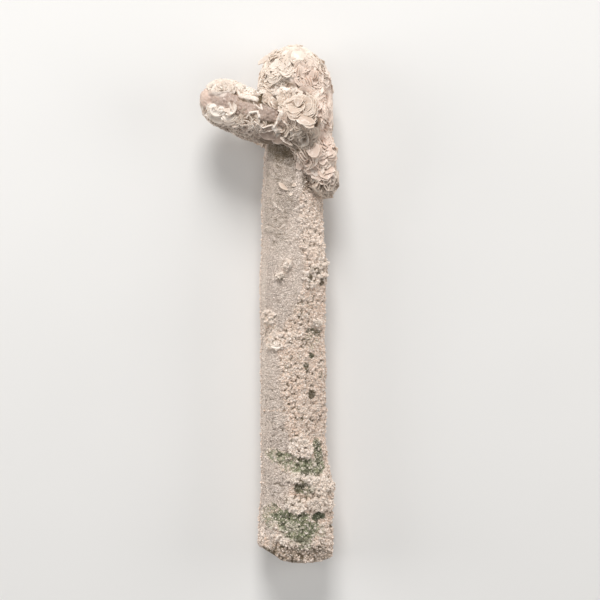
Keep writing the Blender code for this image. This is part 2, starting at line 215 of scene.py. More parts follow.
@dataclass
class Surface:
    """Points in the specimen's frame, the faces through them, and what they tell the material."""

    points: Array
    faces: list[Array]
    marks: dict[Mark, Array] = field(default_factory=dict)


@dataclass(frozen=True)
class Eye:
    """Where the front is seen from: over a point of the front, at a height in mm."""

    u: float = 2.16
    v: float = 71.1
    w: float = 364.0

    def drawn(self, places: Array, factor: Array, w: Array) -> Array:
        """Places drawn away from the point under the eye by a factor, at heights w."""
        under = np.array([self.u, self.v])
        flat = under + (places[..., :2] - under) * factor[..., None]
        return np.concatenate([flat, w[..., None]], axis=-1)

    def seen(self, points: Array) -> Array:
        """Where points are seen against the plane w = 0, their own heights kept.

        Each is drawn out by the eye's height over the height left between it and the eye.
        """
        return self.drawn(points, self.w / (self.w - points[..., 2]), points[..., 2])

    def behind(self, seen: Array, w: Array) -> Array:
        """The points at heights w that are seen at the given places of the plane w = 0."""
        return self.drawn(seen, (self.w - w) / self.w, w)


EYE = Eye()


def in_scene(name: str, data: bpy.types.ID) -> bpy.types.Object:
    """A new object that shows the data, linked to the scene."""
    made = bpy.data.objects.new(name, data)
    bpy.context.scene.collection.objects.link(made)
    return made


@dataclass(frozen=True)
class Place:
    """How the specimen's frame lies in the part's frame."""

    middle_u: float = -5.92
    middle_v: float = 70.37
    floor_w: float = -9.0

    def in_part_frame(self, points: Array) -> Array:
        """Points of the specimen's frame, in mm, as points of the part's frame, in metres."""
        resting = np.maximum(points[..., 2], self.floor_w)
        flat = points[..., :2] - (self.middle_u, self.middle_v)
        return np.concatenate([flat, (resting - self.floor_w)[..., None]], axis=-1) * MM

    def lifted(self, shapes: Array) -> Array:
        """Shapes, one to a row, each lifted as a whole until none of it is under the floor."""
        lowest = shapes[..., 2].min(axis=1, keepdims=True)
        shapes[..., 2] += np.maximum(self.floor_w - lowest, 0.0)
        return shapes

    def piece(
        self, name: str, surface: Surface, material: bpy.types.Material, smooth: float = 0.0
    ) -> bpy.types.Object:
        """Makes a piece of the specimen that rides on its body.

        Args:
            name: the object's name.
            surface: its shape.
            material: its finish.
            smooth: degrees between two faces up to which the edge is shaded smooth.

        Returns:
            The object, at the origin.
        """
        mesh = bpy.data.meshes.new(name)
        corners = np.concatenate([face.reshape(-1) for face in surface.faces]).astype(np.int32)
        sides = np.concatenate([np.full(len(face), face.shape[1]) for face in surface.faces])
        starts = np.concatenate([[0], np.cumsum(sides)[:-1]]).astype(np.int32)
        mesh.vertices.add(len(surface.points))
        mesh.vertices.foreach_set("co", self.in_part_frame(surface.points).ravel())
        mesh.loops.add(len(corners))
        mesh.loops.foreach_set("vertex_index", corners)
        mesh.polygons.add(len(sides))
        mesh.polygons.foreach_set("loop_start", starts)
        mesh.update(calc_edges=True)
        mesh.validate()
        mesh.polygons.foreach_set("use_smooth", np.full(len(sides), smooth > 0.0))
        if smooth > 0.0:
            mesh.set_sharp_from_angle(angle=math.radians(smooth))
        for mark, values in surface.marks.items():
            held = mesh.attributes.new(mark.value, "FLOAT", "POINT")
            held.data.foreach_set("value", np.clip(values, 0.0, 1.0).astype(np.float32).ravel())
        mesh.materials.append(material)
        made = in_scene(name, mesh)
        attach(made, BODY)
        log.info("%s: %d triangles", name, (sides - 2).sum())
        return made


PLACE = Place()


def tube_faces(rings: int, length: int) -> Array:
    """Quads between rings of equal length, each ring joined to the next and round to its start."""
    at = np.arange(rings * length).reshape(rings, length)
    onward = np.roll(at, -1, axis=1)
    return np.stack([at[:-1], onward[:-1], onward[1:], at[1:]], axis=-1).reshape(-1, 4)


def fan(ring: Array, tip: int) -> Array:
    """Triangles from each side of a closed ring of vertices to a tip."""
    return np.stack([ring, np.roll(ring, -1), np.full_like(ring, tip)], axis=-1)


def capped(rings: int, length: int) -> list[Array]:
    """Quads between rings, and fans that close the first and last ring round two tips.

    The tips are the two vertices after the rings' own.

    Args:
        rings: how many rings there are.
        length: points in a ring.

    Returns:
        The quads, and the triangles of the fans.
    """
    first, count = np.arange(length), rings * length
    last = first + count - length
    fans = [fan(first, count)[:, ::-1], fan(last, count + 1)]
    return [tube_faces(rings, length), np.concatenate(fans)]


def many(count: int, pattern: Array, stride: int) -> Array:
    """A pattern of faces repeated for count equal shapes, stride vertices apart."""
    return (pattern[None] + stride * np.arange(count)[:, None, None]).reshape(-1, pattern.shape[1])


def full_circle(count: int, crowding: float = 0.0) -> Array:
    """Angles round a circle, closer together near 0: each turn less a share of its sine."""
    turn = np.linspace(0.0, FULL_TURN, count, endpoint=False)
    return turn - crowding * np.sin(turn)


def listed(kind: type, *rows: tuple) -> tuple:
    """A table's rows as things of one kind, each row's values in the order of its fields."""
    return tuple(kind(*row) for row in rows)


# ---- The column ----


ROUND_CREST = 0.6


class Spot(NamedTuple):
    """A patch of the column's front: a ledge, a hollow, a stain or a painted shadow.

    Its outline is an ellipse made ragged by noise. rise is in mm, turn in degrees, and green,
    white and coarse say how far the patch goes towards each; dark says how far it is darkened as
    painted shade, mostly the shadow under the crown's arm.
    """

    u: float
    v: float
    half_u: float
    half_v: float
    turn: float = 0.0
    rise: float = 0.0
    green: float = 0.0
    white: float = 0.0
    coarse: float = 0.0
    dark: float = 0.0


class Ridge(NamedTuple):
    """A narrow pale ridge on the front, from one place seen to another, in mm."""

    from_u: float
    from_v: float
    to_u: float
    to_v: float
    half_width: float
    rise: float
    white: float

    def top(self, seen: Array) -> Array:
        """How far up its slopes each place is seen, from 0 at its foot to 1 on its crest.

        Args:
            seen: places, as they are seen.

        Returns:
            One share a place.
        """
        start = np.array([self.from_u, self.from_v])
        way = np.array([self.to_u, self.to_v]) - start
        share = np.clip((seen[..., :2] - start) @ way / (way @ way), 0.0, 1.0)
        off = np.linalg.norm(seen[..., :2] - start - share[..., None] * way, axis=-1)
        return np.clip(1.0 - off / self.half_width, 0.0, 1.0) ** ROUND_CREST


LEDGES = (
    Spot(2.0, 30.9, 3.2, 2.8, 10.0, 0.75, white=0.8, coarse=0.8),
    Spot(3.0, 22.8, 4.0, 1.5, -8.0, 0.8, white=1.0, coarse=0.8),
    Spot(8.2, 20.5, 3.0, 3.2, 0.0, 0.6, white=0.7, coarse=0.9),
    Spot(0.6, 15.8, 3.4, 1.9, -20.0, 0.85, white=0.9, coarse=0.8),
    Spot(7.2, 16.0, 3.6, 2.2, 12.0, 0.7, white=0.8, coarse=0.9),
    Spot(-4.0, 58.6, 2.2, 1.2, 10.0, 0.65, white=0.9, coarse=0.9),
    Spot(-2.0, 61.0, 3.4, 2.4, 0.0, 0.3, white=0.4, coarse=0.9),
    Spot(-6.0, 66.5, 1.7, 1.8, 20.0, 0.5, white=0.5, coarse=1.0),
    Spot(6.4, 78.0, 2.6, 3.6, -15.0, 0.6, white=0.7, coarse=1.0),
    Spot(7.6, 81.0, 1.6, 2.4, 0.0, 0.6, white=0.8, coarse=1.0),
    Spot(6.4, 65.0, 1.5, 1.3, 0.0, 0.7, white=1.0, coarse=1.0),
    Spot(5.0, 45.0, 3.4, 9.0, 0.0, 0.3, coarse=0.9),
    Spot(3.0, 5.0, 5.5, 1.6, -6.0, 0.55, white=0.3, coarse=1.0),
    Spot(8.6, 6.0, 2.2, 4.0, 0.0, 0.45, white=0.2, coarse=1.0),
    Spot(-2.3, 6.4, 1.6, 1.0, -30.0, 0.7, white=1.0, coarse=0.6),
    Spot(-4.4, 9.4, 1.3, 2.4, 20.0, 0.35, white=0.5, coarse=1.0),
    Spot(-0.8, 80.5, 1.1, 1.5, -20.0, 0.45, white=1.0, coarse=0.8),
    Spot(-3.2, 77.4, 1.1, 1.0, 20.0, 0.5, white=1.0, coarse=0.8),
    Spot(2.6, 93.0, 1.6, 0.8, 0.0, 0.3, white=0.2),
    Spot(-6.0, 90.2, 1.0, 0.8, 0.0, 0.3, white=0.5),
)
HOLLOWS = listed(
    Spot,
    (7.0, 29.4, 1.1, 4.4, 8.0, -0.9, 0.75), (4.8, 25.8, 3.7, 2.3, 10.0, -0.7, 0.9),
    (3.4, 24.6, 1.2, 0.7, 10.0, -1.3, 0.9), (-2.7, 28.4, 4.2, 2.0, -20.0, -0.5, 0.65),
    (-3.4, 29.4, 1.0, 0.5, 10.0, -1.1, 0.8), (3.1, 31.2, 0.7, 0.22, -10.0, -1.0, 0.2),
    (1.6, 30.3, 0.35, 0.25, 0.0, -0.9, 0.2), (0.0, 33.0, 0.5, 0.5, 0.0, -1.0, 0.2),
    (1.2, 34.6, 1.1, 0.25, 14.0, -0.8, 0.1), (2.6, 28.2, 0.7, 0.5, 0.0, -1.0, 0.6),
    (1.7, 20.2, 1.3, 1.5, 0.0, -1.5, 0.5), (2.4, 22.1, 0.6, 0.6, 0.0, -1.1, 0.4),
    (4.2, 19.5, 1.0, 0.6, -20.0, -0.9, 0.6), (-0.6, 11.2, 5.4, 3.2, -14.0, -0.75, 0.9),
    (-1.4, 12.4, 1.4, 0.6, -20.0, -1.3, 0.9), (6.8, 12.6, 2.1, 1.2, 8.0, -1.7, 1.0),
    (4.2, 8.6, 3.2, 2.8, 30.0, -0.8, 0.9), (2.0, 6.4, 0.9, 0.7, 0.0, -2.0, 0.9),
    (0.8, 7.0, 3.0, 1.7, 0.0, -0.6, 0.8), (-5.4, 14.4, 2.6, 1.9, -20.0, -0.4, 0.55),
    (-4.4, 15.6, 0.8, 0.4, -30.0, -1.0, 0.6), (-7.0, 3.4, 1.5, 1.2, -20.0, -1.8, 0.2),
    (-2.6, 4.4, 0.9, 0.4, -10.0, -1.1, 0.2), (1.4, 3.6, 0.8, 0.35, 10.0, -1.1, 0.2),
    (5.4, 3.2, 1.0, 0.35, -5.0, -1.0, 0.2), (7.6, 5.4, 0.7, 0.5, 0.0, -1.0, 0.3),
    (5.2, 56.0, 0.8, 0.8, 0.0, -1.6, 0.7), (3.8, 52.8, 0.8, 1.3, 10.0, -1.3, 0.9),
    (5.0, 45.6, 0.8, 1.4, 0.0, -1.6, 0.9), (4.7, 48.6, 0.9, 0.7, 0.0, -0.8, 0.3),
    (5.5, 63.1, 0.6, 0.5, 0.0, -1.8, 0.4), (6.8, 62.6, 0.7, 0.35, 24.0, -1.3, 0.4),
    (4.5, 62.6, 0.45, 0.7, 0.0, -1.4, 0.5), (5.2, 61.3, 0.4, 0.4, 0.0, -1.3, 0.3),
    (4.6, 77.2, 0.8, 0.9, 0.0, -1.4, 0.2), (6.2, 79.0, 0.6, 1.2, 30.0, -1.2, 0.1),
    (7.8, 76.0, 0.6, 1.2, 0.0, -1.3, 0.1), (3.2, 60.4, 2.2, 0.25, 0.0, -1.0, 0.2),
    (7.4, 51.0, 0.6, 0.8, 0.0, -0.9, 0.3), (-4.4, 41.2, 3.6, 0.25, 0.0, -0.5),
    (-8.0, 21.5, 0.9, 0.7, 0.0, -0.3), (2.2, 41.0, 1.0, 0.5, -20.0, -0.7, 0.2),
    (4.8, 38.6, 0.9, 0.8, 0.0, -0.8, 0.3),
)
STAINS_AND_SHADOWS = (
    Spot(-8.0, 64.0, 0.9, 46.0, white=0.55),
    Spot(5.4, 91.0, 3.4, 9.0, white=0.4, coarse=1.0),
    Spot(3.2, 69.0, 2.4, 4.0, green=0.12, coarse=0.9),
    Spot(-5.4, 29.6, 1.8, 1.3, green=0.45, coarse=0.8),
    Spot(-6.0, 12.6, 2.2, 3.4, 10.0, green=0.55, coarse=0.9),
    Spot(3.4, 20.0, 2.8, 2.2, green=0.5, coarse=0.9),
    Spot(2.2, 9.4, 4.6, 4.8, green=0.75, coarse=0.9),
    Spot(0.2, 9.6, 2.6, 1.4, -12.0, green=0.85, white=0.42, coarse=0.9),
    Spot(3.4, 25.8, 4.4, 2.0, 6.0, green=0.75, coarse=0.9),
    Spot(7.2, 28.4, 1.0, 4.0, green=0.75, coarse=0.9),
    Spot(6.2, 27.0, 1.0, 1.2, green=0.8, white=0.3, coarse=0.9),
    Spot(-1.6, 25.6, 2.0, 1.3, -30.0, green=0.35, coarse=0.8),
    Spot(7.4, 8.4, 1.2, 2.0, green=0.5, coarse=0.9),
    Spot(-6.2, 62.5, 1.9, 4.6, 8.0, green=0.18, coarse=1.0),
    Spot(5.6, 61.0, 1.8, 3.6, green=0.28, coarse=1.0),
    Spot(0.4, 54.0, 3.0, 4.2, -20.0, green=0.12, coarse=0.9),
    Spot(3.6, 34.6, 3.2, 1.6, green=0.12, coarse=0.9),
    Spot(-2.2, 84.4, 2.6, 4.0, white=0.2, coarse=0.1),
    # Painted shade: the shadow of the crown's arm on the column, darkest just under it and fading
    # downwards, and the shade under the flank.
    Spot(-4.0, 99.0, 5.4, 13.0, dark=0.38),
    Spot(-3.2, 112.0, 6.8, 6.8, -8.0, dark=0.44),
    Spot(-3.2, 112.2, 6.8, 4.9, -8.0, dark=0.58),
    Spot(-3.0, 112.4, 6.4, 3.4, -8.0, dark=0.8),
    Spot(4.2, 102.6, 1.4, 2.4, 20.0, dark=0.5),
    Spot(-7.4, 5.6, 1.6, 1.6, green=0.1, coarse=1.0),
    Spot(-8.0, 8.6, 0.8, 3.4, white=0.7, coarse=0.6),
    Spot(1.0, 2.8, 10.5, 2.6, dark=0.4, coarse=1.0),
    Spot(-4.6, 7.4, 1.0, 1.6, 20.0, white=0.8, coarse=0.9),
)
VEINS = listed(
    Ridge,
    (-5.0, 97.4, -2.7, 95.1, 0.4, 0.3, 0.35), (-1.9, 87.0, -0.3, 87.0, 0.3, 0.28, 0.5),
    (-1.4, 89.2, 0.0, 90.7, 0.3, 0.28, 0.5), (1.1, 88.4, 2.7, 90.8, 0.8, 0.22, 0.25),
    (-3.6, 90.2, -1.8, 91.4, 0.35, 0.22, 0.3), (4.9, 87.3, 7.0, 86.4, 0.4, 0.5, 0.6),
    (5.9, 82.4, 6.5, 85.0, 0.4, 0.75, 0.7), (7.8, 82.8, 8.2, 85.8, 0.4, 0.6, 0.7),
    (6.6, 79.4, 8.3, 81.2, 0.35, 0.7, 0.9), (8.4, 81.2, 9.0, 79.8, 0.35, 0.6, 0.9),
    (7.0, 77.4, 8.9, 77.9, 0.35, 0.7, 0.9), (8.9, 77.9, 8.6, 75.6, 0.35, 0.6, 0.8),
    (3.9, 79.6, 5.6, 78.8, 0.35, 0.5, 0.7), (3.2, 77.9, 4.4, 76.2, 0.3, 0.5, 0.6),
    (-4.0, 78.0, -3.2, 76.8, 0.4, 0.7, 1.0), (-3.2, 76.8, -2.4, 77.6, 0.4, 0.7, 0.9),
    (-3.5, 78.4, -2.8, 77.8, 0.3, 0.5, 0.8), (-2.7, 78.2, -1.6, 79.2, 0.3, 0.45, 0.6),
    (-1.7, 80.2, -1.2, 81.6, 0.4, 0.7, 0.8), (-1.0, 79.9, -0.3, 81.2, 0.4, 0.7, 0.8),
    (-4.6, 64.0, -4.2, 61.0, 0.4, 0.35, 0.4), (-5.8, 60.6, -4.6, 59.6, 0.4, 0.4, 0.5),
    (-2.0, 61.0, 0.6, 59.4, 0.4, 0.35, 0.3), (-8.3, 46.0, -8.2, 20.0, 0.4, 0.15, 0.3),
    (-4.8, 9.8, -1.8, 8.6, 0.35, 0.5, 0.45), (-4.2, 8.4, -2.2, 7.7, 0.3, 0.4, 0.35),
    (-1.0, 10.2, 1.6, 8.8, 0.3, 0.3, 0.3), (-6.6, 34.0, -6.5, 14.0, 0.25, 0.18, 0.4),
    (-6.5, 60.0, -6.6, 36.0, 0.25, 0.1, 0.25), (9.6, 24.0, 9.9, 16.0, 0.4, 0.35, 0.5),
)


@dataclass
class Coat:
    """What the coat is like at each of many places: its rise in mm, and shares from 0 to 1."""

    rise: Array
    green: Array
    white: Array
    # Painted shade: how far the coat is darkened in hollows, gaps and pits and under the crown.
    deep: Array
    coarse: Array

    def marks(self) -> dict[Mark, Array]:
        """What the coat tells its material."""
        told = (Mark.GREEN, Mark.WHITE, Mark.DEEP, Mark.COARSE)
        return {mark: getattr(self, mark.value).ravel() for mark in told}

    def picked(self, keep: Array) -> "Coat":
        """The same at the kept places only."""
        return Coat(*(value[keep] for value in vars(self).values()))


@dataclass
class Column:
    """The six-sided crystal in its coat of fine quartz.

    edges holds v, left edge and right edge; foot_edge holds u and v of the broken foot's rim;
    coarse_from holds v and the u past which the coat is coarse; pocked holds v and how pocked
    the fine coat is; lumps_at and lumps_up hold the spacings of its large, middle and small
    lumps, in mm, and how far they stand out; pock_dark, gap_dark and between say how much
    darker the pits, the gaps between lumps and the skin between coarse grains are painted, as
    shade; spot_edge holds where a spot ends, in shares of its half lengths, and how steeply.
    """

    face_turn: float = math.radians(-10.0)
    face_reach: tuple[float, ...] = (1.0, 0.97, 1.02, 0.98, 1.0, 0.95)
    corner_sharpness: float = 26.0
    head_v: float = 118.0
    head_point: float = 8.0
    edges: Profile = (
        (0.0, -9.0, 10.2), (4.0, -9.4, 10.6), (12.0, -9.1, 10.6), (17.0, -8.7, 10.6),
        (20.5, -8.5, 10.8), (24.0, -8.4, 10.1), (28.0, -8.4, 9.2), (34.0, -8.5, 8.8),
        (52.0, -8.7, 8.7), (60.0, -8.5, 8.5), (73.0, -8.8, 8.8), (88.0, -8.3, 8.1),
        (98.0, -8.2, 8.0), (112.0, -7.4, 7.8), (118.0, -7.0, 7.4),
    )
    foot_edge: Profile = (
        (-9.6, 4.6), (-7.4, 4.0), (-5.4, 3.0), (-4.4, 1.6), (-3.4, 1.1),
        (0.0, 1.0), (6.0, 0.6), (8.6, 0.6), (10.0, 1.6), (10.6, 3.4),
    )
    coarse_from: Profile = (
        (0.0, -9.0), (9.0, -6.0), (14.0, -1.5), (24.0, -1.0), (33.0, -0.5), (37.0, -3.0),
        (46.0, -4.0), (56.0, -5.0), (66.0, -3.0), (69.0, 2.0), (88.0, 1.2), (120.0, 1.8),
    )
    pocked: Profile = ((30.0, 1.0), (46.0, 0.9), (62.0, 0.4), (120.0, 0.4))
    around: int = 208
    along: int = 462
    foot_shares: tuple[float, ...] = (0.99, 0.95, 0.9, 0.84, 0.77, 0.69, 0.6, 0.5, 0.39, 0.27, 0.13)
    foot_bulge: float = 0.7
    foot_front_rise: float = 1.3
    lumps_at: tuple[float, float, float] = (1.5, 0.95, 0.5)
    lumps_up: tuple[float, float, float] = (0.5, 0.6, 0.16)
    pock_depth: float = 0.24
    pock_dark: float = 0.75
    gap_dark: float = 0.68
    between: float = 0.22
    spot_edge: tuple[float, float] = (1.18, 2.6)

    def section(self, angle: Array) -> Array:
        """Radius of the six-sided section for a half width of 1.

        Each face adds its facing's cosine, over its reach, to a high power; the sum to the
        inverse power is a hexagon whose corners are a little rounded.

        Args:
            angle: turn from the front to the right, in radians.

        Returns:
            One radius an angle.
        """

        def radius(at: Array) -> Array:
            """Radius before it is scaled to the width."""
            total = np.zeros(np.shape(at))
            for k, reach in enumerate(self.face_reach):
                facing = np.clip(np.cos(at - self.face_turn - k * math.pi / 3.0), 0.0, None)
                total += (facing / reach) ** self.corner_sharpness
            return total ** (-1.0 / self.corner_sharpness)

        turn = np.linspace(0.0, FULL_TURN, 721)
        across = radius(turn) * np.sin(turn)
        return radius(angle) * 2.0 / (across.max() - across.min())

    def width(self, v: Array) -> tuple[Array, Array]:
        """Where the column's middle is at each height, and half its width there."""
        edge_v, left, right = np.transpose(self.edges)
        left, right = np.interp(v, edge_v, left), np.interp(v, edge_v, right)
        return (right + left) / 2.0, (right - left) / 2.0

    def plain(self, angle: Array, v: Array, rise: Array | float = 0.0) -> Array:
        """Points of the column: the section at each height, scaled to the edges there.

        Args:
            angle: turn from the front to the right, in radians.
            v: height along the column.
            rise: how far the surface stands out of the bare crystal.

        Returns:
            The points.
        """
        middle, half = self.width(v)
        radius = self.section(angle) * half + rise
        return np.stack([middle + radius * np.sin(angle), v, radius * np.cos(angle)], axis=-1)

    def coated(self, angle: Array, v: Array) -> Array:
        """Points of the column in its coat."""
        return self.plain(angle, v, self.coat(angle, v).rise)

    def patches(
        self, spots: tuple[Spot, ...], seen: Array, front: Array, seed: int, fine: float
    ) -> list[tuple[Spot, Array]]:
        """How far each place lies inside each spot's ragged outline, from 0 to 1.

        Args:
            spots: the spots.
            seen: the places, as they are seen.
            front: how much of a spot shows at each, from 0 to 1.
            seed: picks the outlines' raggedness.
            fine: how strong its fine part is, in shares of a spot's half lengths.

        Returns:
            Each spot, and its share at each place.
        """
        u, v = seen[..., 0], seen[..., 1]
        flat = turned(np.stack([u, v, np.full_like(u, 3.0 * seed)], axis=-1), 37.0)
        rag = 0.3 * noise(flat, 2.3, seed) + 1.6 * fine * noise(flat, 0.9, seed + 1)
        rag += fine * noise(flat, 0.4, seed + 2)
        inside = []
        ends_at, steepness = self.spot_edge
        for spot in spots:
            along, across = along_across(u - spot.u, v - spot.v, spot.turn)
            aside = np.hypot(along / spot.half_u, across / spot.half_v)
            inside.append((spot, smooth_step((ends_at - aside - rag) * steepness) * front))
        return inside

    def coat(self, angle: Array, v: Array) -> Coat:
        """What the coat is like at each angle and height.

        The rise adds the highest ledge or deepest hollow there, lumps of three sizes scaled by
        how coarse the coat is, and a slow swell.

        Args:
            angle: turn from the front to the right, in radians.
            v: height along the column.

        Returns:
            The coat.
        """
        bare = self.plain(angle, v)
        u, seen = bare[..., 0], EYE.seen(bare)
        front = smooth_step(np.cos(angle) * 2.2 + 0.45)
        rise, green, white = np.zeros(u.shape), np.zeros(u.shape), np.zeros(u.shape)
        patchy = 1.4 * noise(bare, 3.1, 21) + 0.8 * noise(bare, 1.2, 22)
        coarse = smooth_step((u - read_off(v, self.coarse_from) + patchy) / 2.2)
        coarse = np.where(np.cos(angle) < -0.1, 0.75, coarse)
        for spot, inside in self.patches(HOLLOWS, seen, front, 5, 0.2):
            rise = np.minimum(rise, spot.rise * inside)
            green = np.maximum(green, spot.green * inside)
            coarse = np.maximum(coarse, 0.9 * inside)
        # Painted shade: the deeper a hollow, the darker it is painted.
        deep = smooth_step((-rise - 0.5) / 0.9)
        for spot, inside in self.patches(LEDGES, seen, front, 9, 0.14):
            inside = inside * (rise > -0.25)
            rise = np.maximum(rise, spot.rise * inside)
            white = np.maximum(white, spot.white * inside)
            coarse = np.maximum(coarse, spot.coarse * inside)
            green = green * (1.0 - 0.8 * inside)
        # Stains of green and white, and painted shadow where a spot is dark.
        for spot, inside in self.patches(STAINS_AND_SHADOWS, seen, front, 15, 0.14):
            green = np.maximum(green, spot.green * inside)
            white = np.maximum(white, spot.white * inside)
            coarse = np.maximum(coarse, spot.coarse * inside)
            deep = np.maximum(deep, spot.dark * inside)
        shaken = seen + 0.25 * noise(bare, 1.0, 27)[..., None]
        # A ridge's top loses painted shade.
        for vein in VEINS:
            top = vein.top(shaken) * front
            rise = rise + vein.rise * top
            white = np.maximum(white, vein.white * top)
            deep = deep * (1.0 - 0.8 * top)
        cells = zip(self.lumps_at, (3, 7, 11))
        large, middle, small = (lumps(bare, cell, seed) for cell, seed in cells)
        ups = zip(self.lumps_up, (large, middle, small))
        large_up, middle_up, small_up = (up * (height - 0.45) for up, height in ups)
        rise = rise + 0.2 * noise(bare, 7.0, 2)
        rise += coarse * (large_up + middle_up) + small_up
        # Painted shade in the gaps between coarse lumps and in the fine coat's pits.
        gap = coarse * smooth_step((0.46 - middle) * 3.6) * smooth_step((0.75 - large) * 3.0)
        gap = gap + 0.35 * coarse * smooth_step((0.32 - lumps(bare, 2.1, 19)) * 5.0)
        pocks = smooth_step((0.42 - lumps(bare * (0.6, 1.5, 1.0), 0.85, 41)) * 4.0)
        pocks = pocks * (1.0 - coarse) * read_off(v, self.pocked)
        rise = rise - self.pock_depth * pocks
        deep = deep + self.gap_dark * gap + self.pock_dark * pocks
        return Coat(rise, green, white, np.clip(deep, 0.0, 1.0), coarse)

    def front_w(self, u: Array, v: Array) -> Array:
        """How far out the bare front stands at each place, read off the section at its height."""
        angle = np.linspace(-0.5 * math.pi, 0.5 * math.pi, 91)
        outlines = [self.plain(angle, np.full_like(angle, height)) for height in v]
        return np.array([np.interp(at, line[:, 0], line[:, 2]) for at, line in zip(u, outlines)])

    def foot_v(self, angle: Array) -> Array:
        """Height at which the broken foot's rim lies at each angle: a little higher in front."""
        rim = read_off(np.sin(angle) * self.edges[0][2], self.foot_edge)
        return rim + self.foot_front_rise * np.maximum(np.cos(angle), 0.0)

    def skin(self) -> Surface:
        """The coated surface: rings from the foot's middle, out over its break and up the sides.

        Returns:
            The surface, the points of each ring closer together at the front.
        """
        angle = full_circle(self.around, 0.5)[None, :]
        share = np.linspace(0.0, 1.0, self.along)[:, None]
        v = self.foot_v(angle) + (self.head_v - self.foot_v(angle)) * share
        angle = np.broadcast_to(angle, v.shape)
        coat = self.coat(angle, v)
        sides = self.plain(angle, v, coat.rise)
        rim, middle = sides[0], sides[0].mean(axis=0)
        foot = []
        for inwards in reversed(self.foot_shares):
            ring = middle + (rim - middle) * inwards
            ring[:, 1] = middle[1] + (rim[:, 1] - middle[1]) * inwards**2
            ring[:, 1] -= self.foot_bulge * (1.0 - inwards**4)
            rough = 0.5 * noise(ring, 2.4, 12) + 0.5 * (lumps(ring, 1.3, 13) - 0.4)
            ring[:, 1] -= rough * smooth_step((1.0 - inwards) * 12.0)
            foot.append(ring)
        broken = np.array(foot)
        rings = np.concatenate([broken, sides])
        tips = [rings[0].mean(axis=0), rings[-1].mean(axis=0) + (0.0, self.head_point, 0.0)]
        fade = np.linspace(0.0, 1.0, len(foot))[:, None] ** 2
        own = {mark: np.zeros(broken.shape[:2]) for mark in Mark}
        own[Mark.GREEN] = 0.35 * smooth_step(0.5 + noise(broken, 3.0, 25))
        # Painted shade in the broken foot's low places between lumps.
        own[Mark.DEEP] = 0.8 * smooth_step((0.42 - lumps(broken, 1.3, 13)) * 3.0)
        own[Mark.COARSE] += 0.7
        # Painted shade on the skin between coarse grains.
        coat.deep = np.clip(coat.deep + self.between * coat.coarse, 0.0, 1.0)
        marks = {}
        for mark, values in coat.marks().items():
            rows = values.reshape(v.shape)
            cap = own[mark] + (rows[0] - own[mark]) * fade
            marks[mark] = np.append(np.concatenate([cap, rows]).ravel(), [0.0, 0.0])
        points = np.concatenate([rings.reshape(-1, 3), tips])
        return Surface(points, capped(len(rings), self.around), marks)

    def scatter(self, spacing: float, seed: int) -> tuple[Array, Array, Coat]:
        """Places spread over the coated surface, one to each square of a grid, shifted by chance.

        Args:
            spacing: the grid's spacing, in mm.
            seed: picks one of many unlike scatters.

        Returns:
            The places, their outward directions, and the coat there.
        """
        half = self.edges[0][2]
        columns, rows = int(FULL_TURN * half / spacing), int(self.head_v / spacing)
        row, column = np.indices((rows, columns)).reshape(2, -1)
        cells = np.stack([row, column, row * 0], axis=-1)
        angle = (column + hashed(cells, seed)) * FULL_TURN / columns
        v = (row + hashed(cells, seed + 1)) * self.head_v / rows
        keep = v > self.foot_v(angle) + 0.1
        angle, v = angle[keep], v[keep]
        coat = self.coat(angle, v)
        at = self.plain(angle, v, coat.rise)
        step = 0.12
        over, up = self.coated(angle + step / half, v), self.coated(angle, v + step)
        return at, unit(np.cross(over - at, up - at)), coat


def crystals(
    at: Array, facing: Array, radius: Array, height: Array, sides: int, told: dict[Mark, Array]
) -> Surface:
    """Small pointed crystals: each a ring of corners sunk in the coat, with a point above.

    Args:
        at: where each stands.
        facing: which way each points.
        radius: of each ring.
        height: of each point above its ring.
        sides: corners in a ring.
        told: what each tells its material.

    Returns:
        The surface, which also tells a tint by crystal and how near a vertex is to its point.
    """
    count = len(at)
    across, along = square_to(facing)
    turn = (np.arange(sides) / sides + chance(count, 61)[:, None]) * FULL_TURN
    reach = radius[:, None] * (0.8 + 0.4 * chance(count * sides, 62).reshape(count, sides))
    spokes = np.cos(turn)[..., None] * across[:, None] + np.sin(turn)[..., None] * along[:, None]
    ring = at[:, None] + reach[..., None] * spokes - 0.35 * (facing * radius[:, None])[:, None]
    tip = (at + facing * height[:, None])[:, None]
    points = PLACE.lifted(np.concatenate([ring, tip], axis=1)).reshape(-1, 3)
    corner, stride = np.arange(sides), sides + 1
    faces = [many(count, fan(corner, sides), stride), many(count, corner[::-1][None], stride)]
    told = told | {Mark.TINT: chance(count, 63)}
    marks = {mark: np.repeat(values, stride) for mark, values in told.items()}
    marks[Mark.RIM] = np.tile(np.append(np.zeros(sides), 1.0), count)
    return Surface(points, faces, marks)


